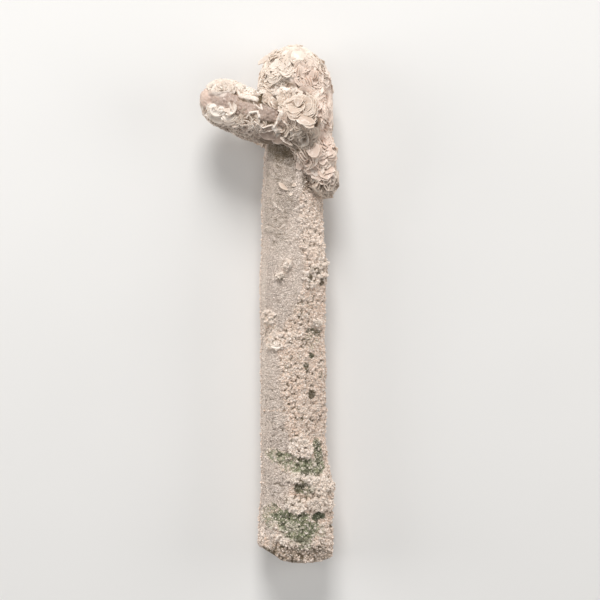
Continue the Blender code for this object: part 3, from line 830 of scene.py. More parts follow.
@dataclass
class Grains:
    """One size of crystal strewn over the column's coat, where it is coarse or pale enough."""

    name: str
    spacing: float
    radius: tuple[float, float]
    height: tuple[float, float]
    sides: int
    coarseness: tuple[float, float]
    seed: int
    whiteness: float = -1.0
    lean: float = 0.55

    def surface(self, column: Column) -> Surface:
        """The crystals, on the places whose coarseness, shifted by chance, is in range.

        Args:
            column: the column that the crystals stand on.

        Returns:
            The crystals as one surface.
        """
        at, outward, coat = column.scatter(self.spacing, self.seed)
        lot = chance(len(at), self.seed + 5)
        low, high = self.coarseness
        keep = (coat.coarse + 0.3 * (lot - 0.5) > low) & (coat.coarse <= high)
        keep &= coat.white + 0.5 * (lot - 0.5) > self.whiteness
        keep &= (outward[:, 2] > -0.55) | (lot > 0.45)
        at, outward, coat, lot = at[keep], outward[keep], coat.picked(keep), lot[keep]
        count = len(at)
        size = 0.5 * (lot + chance(count, self.seed + 9) ** 2.0)
        radius = np.interp(size, (0.0, 1.0), self.radius)
        height = np.interp(size, (0.0, 1.0), self.height)
        facing = unit(outward + 2.0 * self.lean * swayed(count, self.seed + 6))
        # Each crystal keeps more or less of the painted shade where it stands, by chance.
        coat.deep = coat.deep * (0.55 + 0.6 * chance(count, self.seed + 10))
        return crystals(at, facing, radius, height, self.sides, coat.marks())


# ---- The crown ----


class Lobe(NamedTuple):
    """One of the crown's overlapping lumps: its centre, half lengths and turn in degrees."""

    centre: tuple[float, float, float]
    half: tuple[float, float, float]
    turn: float

    def scaled(self, points: Array) -> Array:
        """Points as shares of its half lengths from its centre: 1 long on its surface."""
        return turned(points - np.array(self.centre), -self.turn) / self.half

    def placed(self, shares: Array) -> Array:
        """The points at the given shares of its half lengths."""
        return np.array(self.centre) + turned(shares * np.array(self.half), self.turn)


class Tone(NamedTuple):
    """A patch of the crown's front, as it is seen, in mm and degrees.

    rise is how far its middle bulges out. grey, white and pink say how far its calcite goes
    towards each, and dark how far it is darkened as painted shade; fine, how small its plates
    are; bare, whether none grow there. corners is the power of its outline's norm: 2 is an
    ellipse, and a higher one is squarer.
    """

    u: float
    v: float
    half_u: float
    half_v: float
    turn: float = 0.0
    rise: float = 0.0
    grey: float = 0.0
    white: float = 0.0
    pink: float = 0.0
    dark: float = 0.0
    fine: float = 0.0
    bare: float = 0.0
    corners: float = 2.0

    def aside(self, seen: Array) -> Array:
        """How far from its middle each place is seen, 1 being its outline."""
        offsets = along_across(seen[:, 0] - self.u, seen[:, 1] - self.v, self.turn)
        along, across = (np.abs(o) / half for o, half in zip(offsets, (self.half_u, self.half_v)))
        return (along**self.corners + across**self.corners) ** (1.0 / self.corners)


def crease(
    u: float, v: float, half_u: float, half_v: float, turn: float, rise: float, dark: float
) -> Tone:
    """A hollow where no plates grow, painted dark as shade."""
    return Tone(u, v, half_u, half_v, turn, rise, dark=dark, bare=1.0)


class Broad(NamedTuple):
    """A broad plate on the front, or a stack of them, as seen, in mm and degrees.

    turn is where its free edge points and dip how far that edge rises towards the viewer; tilt
    is how far its face then turns to the left of that way. pale is from -1, grey, to 1, white.
    A stack has count plates, step apart along the way at step_turn to the free edge's.
    """

    u: float
    v: float
    radius: float
    long: float
    turn: float
    dip: float = 0.0
    tilt: float = 0.0
    lift: float = 0.0
    cup: float = 0.0
    thickness: float = 0.4
    pale: float = 0.0
    count: int = 1
    step: float = 0.5
    step_turn: float = 0.0


class Rosette(NamedTuple):
    """A middle that plates fan out from, and the way that most of them lean, if any."""

    u: float
    v: float
    skew_u: float = 0.0
    skew_v: float = 0.0


LOBES = listed(
    Lobe,
    ((-17.4, 123.6, 3.6), (6.5, 5.9, 6.2), -20.0),
    ((-9.0, 119.6, 5.2), (10.0, 6.3, 7.0), -14.0),
    ((2.4, 118.2, 7.8), (5.8, 6.4, 6.2), -20.0),
    ((0.6, 128.0, 0.4), (9.3, 11.0, 8.0), 0.0),
    ((5.6, 119.0, -0.4), (4.8, 10.6, 8.9), -2.0),
    ((5.4, 110.2, 4.2), (6.0, 5.6, 5.8), 0.0),
    ((8.2, 103.6, 2.6), (3.6, 4.8, 5.6), 8.0),
    ((-3.6, 119.6, -4.8), (8.9, 6.7, 4.8), -6.0),
)
FRONT_ROSETTES = listed(
    Rosette,
    (-4.6, 135.0, 0.6, -0.9), (-5.0, 138.0, -0.8, 0.5), (1.5, 137.0, 0.1, 0.5),
    (5.1, 131.8), (2.7, 134.6, 0.6, 0.2), (-7.6, 131.6, -0.8, 0.3),
    (8.9, 132.6, 0.9, 0.0), (9.0, 125.6, 0.8, -0.3), (9.4, 119.4, 0.7, -0.6),
    (2.2, 124.6, 0.6, 0.2), (5.2, 121.0, 0.8, -0.2), (-0.6, 127.2, -0.2, 0.9),
    (-9.2, 128.0, 0.0, 0.9), (-18.9, 129.0, -0.2, 0.9), (-21.6, 121.0, -0.2, -0.9),
    (-16.5, 119.9, 0.2, -0.9), (-12.4, 117.6, -0.1, -0.8), (-8.1, 115.6, 0.1, -0.9),
    (-1.9, 116.2, 0.3, -0.9), (3.2, 114.4, 0.4, -0.8), (0.2, 109.5),
    (4.2, 108.0, 0.1, -0.6), (8.6, 108.0, 0.5, -0.9), (9.4, 113.0, 0.7, -0.6),
    (3.4, 104.4, -0.1, -0.9), (10.3, 101.9, 0.6, -0.8),
)
TONES = (
    # the arm's far end
    Tone(-23.6, 125.8, 1.6, 3.3, 8.0, 0.9, pink=0.7, grey=0.25, bare=1.0),
    Tone(-20.0, 128.6, 2.9, 2.2, -6.0, 0.7, white=0.5, fine=0.4, bare=0.4),
    Tone(-16.6, 128.8, 2.2, 1.8, 10.0, 0.6, white=0.5, fine=0.4, bare=0.4),
    Tone(-14.2, 128.2, 1.6, 1.2, -20.0, 0.65, white=0.4, fine=0.5, bare=0.4),
    Tone(-18.3, 128.6, 0.35, 1.4, 14.0, -0.3, grey=0.4),
    Tone(-20.8, 128.9, 0.9, 0.7, 20.0, 0.95, white=0.5),
    Tone(-17.2, 129.5, 0.8, 0.6, 24.0, 0.85, white=0.5),
    Tone(-21.6, 127.2, 1.2, 0.9, 30.0, 0.8, white=0.15, pink=0.2, bare=1.0),
    Tone(-18.3, 125.2, 4.2, 2.3, -4.0, 0.2, grey=1.0, pink=0.25, bare=1.0),
    Tone(-21.4, 122.8, 1.6, 1.3, -14.0, 0.7, white=1.0, fine=0.5, bare=1.0),
    Tone(-19.4, 122.4, 1.4, 1.1, 10.0, 0.55, white=1.0, fine=0.5, bare=1.0),
    # the ledge and what is below it
    Tone(-10.9, 127.9, 4.2, 1.8, -12.0, 0.3, white=1.0, fine=1.0),
    Tone(-12.4, 123.4, 2.9, 2.1, -10.0, 0.15, grey=1.0, pink=0.4, dark=0.16, bare=1.0),
    Tone(-14.6, 122.3, 1.6, 1.0, -20.0, 0.2, grey=0.9, pink=0.3, dark=0.12, bare=1.0, fine=0.5),
    Tone(-6.5, 121.5, 2.8, 2.2, -8.0, 0.45, grey=1.0, pink=0.2, dark=0.12, bare=1.0, corners=6.0),
    Tone(-9.8, 117.6, 2.4, 1.2, -24.0, 0.2, grey=0.3, white=0.4, fine=0.9, bare=0.4),
    Tone(-6.0, 117.0, 2.4, 1.0, -4.0, 0.1, grey=0.6, bare=1.0),
    Tone(-2.4, 120.0, 1.2, 2.4, -16.0, 0.2, grey=0.5, bare=1.0),
    Tone(-11.0, 115.0, 10.5, 2.8, -20.0, grey=0.75, fine=0.4),
    Tone(-4.6, 113.6, 2.4, 1.0, -10.0, 0.2, white=0.3, fine=0.7),
    Tone(-6.6, 114.6, 0.9, 0.5, 20.0, -0.5, dark=0.6),
    Tone(-2.0, 114.6, 0.7, 0.5, 0.0, -0.5, dark=0.6),
    Tone(-18.6, 118.6, 3.6, 1.4, -20.0, dark=0.25),
    # the knob
    Tone(-4.3, 127.0, 1.9, 1.5, 14.0, 0.6, white=0.85, pink=0.4, fine=0.35, bare=1.0),
    Tone(-2.2, 127.9, 1.6, 1.1, -20.0, 0.5, white=0.9, pink=0.3, fine=0.45, bare=1.0),
    Tone(0.3, 127.7, 1.7, 1.0, -8.0, 0.4, white=0.7, pink=0.4, fine=0.4, bare=1.0),
    Tone(2.0, 124.6, 5.4, 4.0, white=0.12),
    Tone(2.5, 114.2, 5.4, 2.2, -8.0, grey=0.95, dark=0.3),
    Tone(6.3, 118.4, 0.7, 1.5, 0.0, -0.4, dark=0.7, bare=0.6),
    # the dome
    Tone(-5.0, 134.5, 6.5, 5.5, white=0.6),
    Tone(1.5, 138.0, 9.0, 3.2, white=0.55, fine=0.2),
    Tone(4.1, 131.4, 4.0, 4.4, white=0.28, pink=0.8),
    Tone(0.3, 130.2, 1.6, 1.2, 0.0, -0.1, grey=0.8, bare=1.0),
    Tone(-3.5, 129.9, 2.6, 0.9, 0.0, -0.3, dark=0.7, fine=1.0),
    # the right side and the flank
    Tone(9.2, 121.0, 3.0, 12.0, pink=0.8, grey=0.1),
    Tone(6.6, 108.2, 5.0, 5.0, pink=0.6, grey=0.1, white=0.15),
    Tone(1.6, 107.0, 3.0, 4.0, grey=0.5),
    Tone(1.2, 104.4, 2.8, 2.6, grey=0.6, dark=0.25),
    Tone(10.6, 101.6, 2.6, 4.0, -14.0, 0.3, grey=0.9),
    Tone(2.9, 102.9, 1.4, 0.9, -30.0, -0.4, dark=0.8),
    Tone(6.6, 104.0, 1.8, 0.5, -10.0, -0.3, dark=0.6),
    Tone(2.0, 112.0, 3.4, 0.8, -20.0, -0.3, dark=0.6),
    # creases between plates, painted dark as shade
    *listed(
        crease,
        (-22.3, 128.2, 0.4, 1.0, 20.0, -0.4, 0.25),
        (-21.2, 121.0, 2.4, 0.3, 0.0, -0.3, 0.35),
        (-16.0, 124.0, 1.2, 0.5, -50.0, -0.2, 0.25),
        (-11.9, 124.8, 2.5, 0.35, -16.0, -0.5, 0.75),
        (-9.6, 127.0, 1.2, 0.3, 30.0, -0.5, 0.6),
        (-12.9, 127.9, 0.9, 0.3, -40.0, -0.5, 0.5),
        (-8.3, 125.4, 1.3, 1.1, 0.0, -1.0, 1.0),
        (-10.4, 120.3, 0.8, 0.5, -30.0, -0.8, 0.7),
        (-6.4, 119.0, 2.7, 0.35, -8.0, -0.6, 0.85),
        (-3.6, 124.4, 1.4, 0.9, -60.0, -0.7, 0.75),
        (0.4, 134.2, 0.6, 0.5, 0.0, -0.4, 0.9),
        (8.3, 102.6, 0.8, 0.7, 0.0, -0.6, 0.9),
    ),
)
RIDGES = listed(
    Ridge,
    (-14.0, 126.4, -12.2, 125.7, 0.65, 0.7, 0.7),
    (-12.2, 125.7, -9.5, 125.1, 0.7, 0.9, 0.85),
    (-14.6, 127.4, -14.0, 126.4, 0.5, 0.6, 0.7),
    (-12.9, 127.0, -10.6, 126.7, 0.5, 0.7, 0.9),
    (-11.6, 128.3, -9.8, 127.6, 0.55, 0.6, 0.9),
    (-11.3, 121.6, -9.3, 122.0, 0.4, 0.7, 1.0),
    (-9.3, 122.0, -8.9, 120.6, 0.4, 0.6, 0.9),
    (-11.3, 121.6, -12.3, 120.3, 0.3, 0.45, 0.6),
    (-10.2, 119.3, -7.9, 117.7, 0.3, 0.8, 0.7),
    (-7.9, 117.7, -5.3, 118.5, 0.28, 0.7, 0.7),
    (-7.6, 116.4, -4.9, 117.2, 0.25, 0.5, 0.6),
    (-9.6, 123.6, -8.7, 122.8, 0.25, 0.5, 0.8),
    (-8.5, 123.7, -8.1, 122.6, 0.25, 0.5, 0.8),
    (-2.3, 122.8, -2.8, 121.4, 0.4, 0.8, 0.6),
    (-2.7, 121.6, -3.7, 119.6, 0.7, 1.2, 1.0),
    (-3.3, 119.8, -4.9, 117.9, 0.6, 1.1, 0.9),
    (-4.9, 117.7, -4.1, 116.9, 0.8, 0.9, 1.0),
    (-2.1, 119.4, -1.1, 118.4, 0.22, 0.7, 1.0),
    (-1.7, 122.2, -0.6, 120.2, 0.2, 0.5, 0.5),
    (-16.9, 124.2, -15.9, 122.2, 0.4, 0.6, 0.6),
    (-15.9, 122.2, -17.2, 120.3, 0.45, 0.7, 0.7),
    (-17.2, 120.3, -19.0, 119.6, 0.4, 0.5, 0.5),
    (-17.4, 122.0, -18.4, 120.9, 0.35, 0.5, 0.6),
    (-18.4, 120.9, -20.4, 120.6, 0.3, 0.45, 0.4),
    (-16.0, 119.6, -17.8, 118.4, 0.3, 0.45, 0.3),
    (-17.8, 118.4, -20.2, 118.8, 0.3, 0.4, 0.3),
)
BROAD_PLATES = listed(
    Broad,
    # the arm's far end
    (-16.6, 122.8, 1.8, 1.3, -52.0, 40.0, 0.0, 0.5, 0.35, 0.4, 0.45, 3, 0.4),
    (-19.8, 122.0, 2.3, 1.4, -96.0, 26.0, 0.0, 0.3, 0.22, 0.35, 0.75, 4, 0.55),
    (-16.9, 120.8, 2.1, 1.4, -78.0, 28.0, 0.0, 0.3, 0.2, 0.35, 0.55, 3, 0.6),
    # by the ribbon
    (-1.0, 120.6, 0.7, 1.4, 78.0, 0.0, -50.0, 0.4, 0.0, 0.4, -0.4),
    (-2.7, 115.6, 1.7, 1.9, -60.0, 10.0, 0.0, 0.3, 0.0, 0.4, -0.4),
    (-6.6, 115.4, 2.3, 1.2, -112.0, 8.0, 0.0, 0.4, 0.0, 0.25, -0.6, 4, 0.45),
    (-3.4, 114.7, 2.0, 1.0, -84.0, 10.0, 0.0, 0.5, 0.0, 0.25, -0.5, 4, 0.4),
    (-1.2, 114.2, 0.6, 1.7, -32.0, 0.0, 48.0, 0.7, 0.0, 0.25, -0.4, 4, 0.5, -90.0),
    # the knob
    (3.3, 119.7, 1.6, 2.4, -30.0, 14.0, 24.0, 0.7, -0.15, 0.35, 0.0, 2, 0.5),
    (1.8, 124.5, 1.1, 1.3, 80.0, 0.0, 0.0, 0.7, 0.5, 0.35, 0.2),
    (4.1, 123.8, 2.2, 1.6, -10.0, 42.0, 0.0, 0.3, 0.15, 0.3, 0.1, 5, 0.55),
    (3.4, 127.0, 2.0, 1.5, 60.0, 34.0, 0.0, 0.3, 0.15, 0.3, 0.2, 3, 0.6),
    (0.6, 122.2, 1.6, 1.3, -100.0, 40.0, 0.0, 0.3, 0.2, 0.3, 0.1, 4, 0.5),
    (5.6, 119.5, 0.9, 1.8, 60.0, 0.0, 68.0, 0.4, 0.0, 0.3, 0.1, 3, 0.6, -90.0),
    (1.3, 113.4, 0.8, 1.3, -35.0, 0.0, 65.0, 0.4, 0.0, 0.3, 0.2, 3, 0.55, -90.0),
    (6.1, 114.0, 0.8, 1.2, 30.0, 0.0, 65.0, 0.4, 0.0, 0.35, 0.3),
    # the flank
    (5.9, 111.6, 1.9, 1.8, -55.0, 26.0, 0.0, 0.6, 0.25, 0.35, 0.1, 3, 0.4),
    (3.9, 110.6, 0.8, 1.6, -60.0, 0.0, 66.0, 0.4, 0.0, 0.28, 0.3, 4, 0.65, -90.0),
    (-0.3, 110.6, 0.8, 1.0, 110.0, 20.0, 0.0, 0.2, 0.2, 0.3, 0.1),
    (0.2, 108.2, 0.9, 1.0, -110.0, 24.0, 0.0, 0.3, 0.2, 0.3, 0.3, 2, 0.4),
    (1.0, 110.8, 0.4, 0.6, -65.0, 0.0, 45.0, 0.5, 0.0, 0.3, 0.7),
    (1.9, 107.6, 1.1, 1.3, -80.0, 24.0, 0.0, 0.4, 0.1, 0.3, 0.0, 3, 0.5),
    (9.0, 106.1, 2.0, 1.5, -90.0, 30.0, 0.0, 0.3, 0.15, 0.3, 0.0, 4, 0.5),
    (5.2, 106.4, 1.7, 1.3, -70.0, 32.0, 0.0, 0.3, 0.2, 0.3, 0.0, 3, 0.5),
    (4.3, 103.4, 1.5, 0.9, -85.0, 46.0, 0.0, 0.4, 0.3, 0.3, 0.3, 2, 0.4),
    (7.4, 102.4, 0.7, 1.3, 75.0, 0.0, 66.0, 0.4, 0.0, 0.3, 0.2, 3, 0.5, 90.0),
    (9.6, 111.2, 1.5, 1.4, -50.0, 30.0, 0.0, 0.3, 0.2, 0.3, 0.1, 4, 0.6),
    (8.2, 108.9, 1.3, 1.2, -80.0, 34.0, 0.0, 0.3, 0.2, 0.3, 0.0, 3, 0.5),
    (12.1, 103.4, 0.6, 2.6, 72.0, 0.0, 60.0, 0.0, 0.0, 0.35, 0.6),
    # the dome
    (-4.8, 134.8, 1.9, 1.3, -45.0, 30.0, 0.0, 0.2, 0.15, 0.26, 0.2, 6, 0.5),
    (-1.9, 134.6, 1.9, 1.3, -75.0, 36.0, 0.0, 0.1, 0.2, 0.26, 0.2, 6, 0.5),
    (1.7, 133.0, 1.0, 1.6, 80.0, 0.0, -44.0, 0.4, 0.3, 0.35, 0.3, 3, 0.4, -90.0),
    (1.6, 136.9, 1.9, 1.9, 90.0, -6.0, 0.0, 0.2, -0.1, 0.4, 0.5),
    (-7.6, 136.0, 0.9, 2.0, 200.0, 0.0, 0.0, 0.2, 0.0, 0.35, 0.5),
    (-5.5, 137.8, 1.1, 1.6, 35.0, 0.0, 24.0, 0.3, 0.0, 0.3, 0.4, 2, 0.5, -90.0),
    (5.0, 131.9, 1.3, 1.5, 90.0, 0.0, 30.0, 0.1, 0.4, 0.35, 0.1, 3, 0.5, -90.0),
    (3.4, 129.4, 0.7, 1.5, 105.0, 0.0, 58.0, 0.4, 0.0, 0.3, 0.1, 4, 0.6, -90.0),
    # the knob's right; new rows go last, so that those above keep their chances
    (4.4, 122.4, 1.8, 1.3, -25.0, 36.0, 0.0, 0.5, 0.15, 0.28, 0.25, 4, 0.5),
)


@dataclass
class Plates:
    """Thin calcite plates: where each is, how it lies, and what it tells its material.

    buried is how much darker the end sunk in the crown is painted, as shade, and rim_width how
    wide the pale rim is, in mm. uneven and waves shape the outline, and ripple the face. taper
    holds the thickness at the middle, as a share of the plate's own, and how much of that is
    lost by the rim.
    """

    at: Array
    facing: Array
    free_edge: Array
    radius: Array
    long: Array
    thickness: Array
    cup: Array
    tints: dict[Mark, Array]
    buried: float = 0.0
    rim_width: float = 0.35
    uneven: float = 0.14
    waves: tuple[float, float] = (0.07, 0.04)
    ripple: float = 0.05
    taper: tuple[float, float] = (1.15, 0.55)

    def surface(self, sides: int, shares: tuple[float, ...], seed: int) -> Surface:
        """The plates' mesh.

        A plate's face is a disc in polar form, its outline uneven: across it, the height is the
        cup times the square of the distance to the side, less a curl towards the free edge,
        plus a ripple round the rim. The back is the face moved in by the thickness, which thins
        towards the rim.

        Args:
            sides: corners round a plate.
            shares: the rings' radii, as shares of the plate's.
            seed: picks the outlines.

        Returns:
            The surface. Its rim mark falls from 1 at each edge to 0 at the rim's width, and its
            painted shade grows towards the buried end.
        """
        count, rings = len(self.at), len(shares)
        radius, long, cup = self.radius[:, None], self.long[:, None], self.cup[:, None]
        at, facing, free_edge = self.at[:, None], self.facing[:, None], self.free_edge[:, None]
        side = unit(np.cross(free_edge, facing))
        turn = (np.arange(sides) / sides)[None] * FULL_TURN + 6.0 * chance(count, seed)[:, None]
        uneven = self.uneven * (chance(count * sides, seed + 1).reshape(count, sides) - 0.5)
        phase = 6.0 * chance(count, seed + 2)[:, None]
        waves = [up * np.cos(k * turn + phase) for k, up in zip((3.0, 6.0), self.waves)]
        reach = 1.0 + uneven + waves[0] + waves[1]
        share = np.array(shares)[None, :, None]
        x = ((radius * reach * np.cos(turn))[:, None] * share).reshape(count, -1)
        y = ((long * reach * np.sin(turn))[:, None] * share).reshape(count, -1)
        ripple = (self.ripple * radius * np.sin(4.0 * turn + 2.0 * phase))[:, None] * share**2
        curl = 0.5 * np.abs(cup) * np.maximum(y, 0.0) ** 2 / radius
        height = cup * x**2 / radius - curl + ripple.reshape(count, -1)
        flat = at + (x[..., None] * side + y[..., None] * free_edge)
        ring_share = np.repeat(np.array(shares), sides)
        thick, lost = self.taper
        half = 0.5 * self.thickness[:, None] * (thick - lost * ring_share)
        front, back = (flat + up[..., None] * facing for up in (height + half, height - half))
        middle = 0.5 * thick * self.thickness[:, None, None] * facing
        points = PLACE.lifted(np.concatenate([front, back, at + middle, at - middle], axis=1))
        per_face = rings * sides
        stride = 2 * per_face + 2
        corner, outer = np.arange(sides), np.arange(sides) + per_face - sides
        rim = [outer, np.roll(outer, -1), np.roll(outer, -1) + per_face, outer + per_face]
        face = tube_faces(rings, sides)
        quads = np.concatenate([face, face[:, ::-1] + per_face, np.stack(rim, axis=-1)])
        fans = [fan(corner, stride - 2), fan(corner + per_face, stride - 1)[:, ::-1]]
        faces = [many(count, quads[:, ::-1], stride), many(count, np.concatenate(fans), stride)]
        to_edge = (1.0 - np.concatenate([ring_share, ring_share, [0.0, 0.0]])) * radius
        buried = np.concatenate([-y, -y, np.zeros((count, 2))], axis=1) / long
        marks = {
            Mark.RIM: (1.0 - to_edge / self.rim_width).ravel(),
            Mark.TINT: np.repeat(chance(count, seed + 3), stride),
        }
        marks |= {mark: np.repeat(values, stride) for mark, values in self.tints.items()}
        # Painted shade: darker towards the end sunk in the crown.
        marks[Mark.DEEP] += (self.buried * smooth_step(0.2 + 0.8 * buried)).ravel()
        return Surface(points.reshape(-1, 3), faces, marks)


def stacked(rows: tuple[Broad, ...]) -> Array:
    """The rows with each stack drawn out to its plates, one to a row and each a little unlike.

    Args:
        rows: plates and stacks of them.

    Returns:
        One plate to a row, its values in the order of Broad's fields.
    """
    drawn = []
    for row in rows:
        way = math.radians(row.turn + row.step_turn)
        for step in (k * row.step for k in range(row.count)):
            u, v = row.u + step * math.cos(way), row.v + step * math.sin(way)
            drawn.append(row._replace(u=u, v=v))
    drawn = np.array(drawn)
    place, size, angles = slice(0, 2), slice(2, 4), slice(4, 7)
    unlike = 2.0 * chance(drawn.size, 99).reshape(drawn.shape) - 1.0
    unlike *= drawn[:, [Broad._fields.index("count")]] > 1
    drawn[:, place] += 0.14 * unlike[:, place]
    drawn[:, size] *= 1.0 + 0.16 * unlike[:, size]
    drawn[:, angles] += 8.0 * unlike[:, angles]
    return drawn


def laid(rows: Array, at: Array, out: Array, tints: dict[Mark, Array]) -> Plates:
    """Plates laid one by one: each faces out, dips about its width and tilts about its length.

    Args:
        rows: one plate to a row, in the order of Broad's fields.
        at: the plates' middles.
        out: the way that each faces before it dips and tilts.
        tints: what each tells its material.

    Returns:
        The plates.
    """
    _, _, radius, long, turn, dip, tilt, _, cup, thickness, pale, *_ = rows.T
    turn, dip, tilt = np.radians(turn), np.radians(dip)[:, None], np.radians(tilt)[:, None]
    along = np.stack([np.cos(turn), np.sin(turn), np.zeros_like(turn)], axis=-1)
    along = unit(squared(along, out))
    across = np.cross(out, along)
    dipped = out * np.cos(dip) - along * np.sin(dip)
    free_edge = along * np.cos(dip) + out * np.sin(dip)
    facing = dipped * np.cos(tilt) + across * np.sin(tilt)
    tints = dict(tints)
    tints[Mark.WHITE] = np.maximum(tints[Mark.WHITE] * (pale > -0.2), pale)
    tints[Mark.GREY] = np.where(pale > 0.3, 0.0, np.maximum(tints[Mark.GREY], -pale))
    return Plates(at, facing, free_edge, radius, long, thickness, cup, tints, rim_width=0.4)


SHARDS = listed(
    Broad,
    (-2.3, 101.7, 0.8, 1.6, -35.0, 0.0, 40.0, 0.25, 0.0, 0.4, 0.15),
    (0.6, 102.2, 0.5, 0.6, 40.0, 0.0, 30.0, 0.25, 0.0, 0.3, 0.1),
    (-0.3, 99.6, 0.4, 0.5, 10.0, 0.0, 30.0, 0.2, 0.0, 0.3, 0.1),
    (-0.9, 81.2, 0.6, 0.9, 62.0, 20.0, 30.0, 0.7, 0.3, 0.35, 0.5),
    (-1.8, 79.8, 0.5, 0.7, 130.0, 20.0, 40.0, 0.7, 0.2, 0.3, 0.4),
    (-3.2, 77.5, 0.5, 0.8, 60.0, 10.0, 30.0, 0.6, 0.3, 0.3, 0.7),
    (-4.1, 58.6, 0.9, 1.6, 6.0, 0.0, 40.0, 0.4, 0.0, 0.45, 0.8),
    (-4.8, 57.9, 0.7, 1.1, -10.0, 0.0, -20.0, 0.4, -0.2, 0.4, 0.3),
    (-2.2, 6.4, 0.7, 1.1, -34.0, 20.0, 0.0, 0.5, -0.2, 0.45, 0.4),
    (7.1, 83.4, 0.6, 1.5, 84.0, 0.0, -30.0, 0.5, 0.0, 0.35, 0.5),
    (8.7, 81.0, 0.6, 0.9, 60.0, 0.0, -50.0, 0.3, 0.3, 0.35, 0.7),
    (9.2, 79.0, 0.6, 0.8, 120.0, 0.0, 50.0, 0.2, 0.3, 0.35, 0.8),
    (8.2, 77.2, 0.6, 0.8, 20.0, 0.0, 55.0, 0.4, 0.3, 0.35, 0.8),
    (6.9, 79.6, 0.5, 0.7, 150.0, 0.0, 50.0, 0.4, 0.3, 0.3, 0.7),
    (4.3, 77.9, 0.5, 0.7, 110.0, 0.0, 50.0, 0.4, 0.3, 0.3, 0.6),
    (8.7, 65.6, 0.7, 1.2, 80.0, 0.0, -50.0, 0.0, 0.0, 0.4, 0.3),
)


def shards_on(column: Column) -> Plates:
    """The few small calcite plates that sit on the column's front, away from the crown.

    Args:
        column: the column they sit on.

    Returns:
        The plates.
    """
    rows = stacked(SHARDS)
    at = EYE.behind(rows[:, :2], column.front_w(rows[:, 0], rows[:, 1]))
    at = EYE.behind(rows[:, :2], column.front_w(at[:, 0], at[:, 1]) + rows[:, 7])
    none = np.zeros(len(rows))
    tints = dict.fromkeys((Mark.GREY, Mark.WHITE, Mark.PINK, Mark.DEEP), none)
    return laid(rows, at, none[:, None] + (0.0, 0.0, 1.0), tints)


def ball(around: int) -> tuple[Array, list[Array]]:
    """A unit ball in polar form: rings between two poles, and its quads and fans.

    Args:
        around: corners in a ring.

    Returns:
        Its points, and its faces as quads and triangles.
    """
    up = np.linspace(0.0, math.pi, around // 2 + 1)[1:-1, None]
    turn = full_circle(around)[None]
    sides = [np.sin(up) * np.cos(turn), np.sin(up) * np.sin(turn), np.cos(up) + 0.0 * turn]
    rings = np.stack(sides, axis=-1).reshape(-1, 3)
    points = np.concatenate([rings, [[0.0, 0.0, 1.0], [0.0, 0.0, -1.0]]])
    return points, [pattern[:, ::-1] for pattern in capped(len(up), around)]


class Side(Enum):
    """A part of the crown that gets its own cover of plates."""

    BACK = "back"
    DOME = "dome"
    ARM = "arm"
    FLANK = "flank"

    def holds(self, at: Array) -> Array:
        """Whether each place is on this part.

        Args:
            at: places, in mm.

        Returns:
            One answer a place.
        """
        front = at[:, 2] > -1.0
        dome = at[:, 1] > np.where(at[:, 0] > -9.5, 128.3, 140.0)
        arm = ~dome & (at[:, 0] < -2.0)
        held = {Side.BACK: ~front, Side.DOME: front & dome, Side.ARM: front & arm}
        return held.get(self, front & ~dome & ~arm)


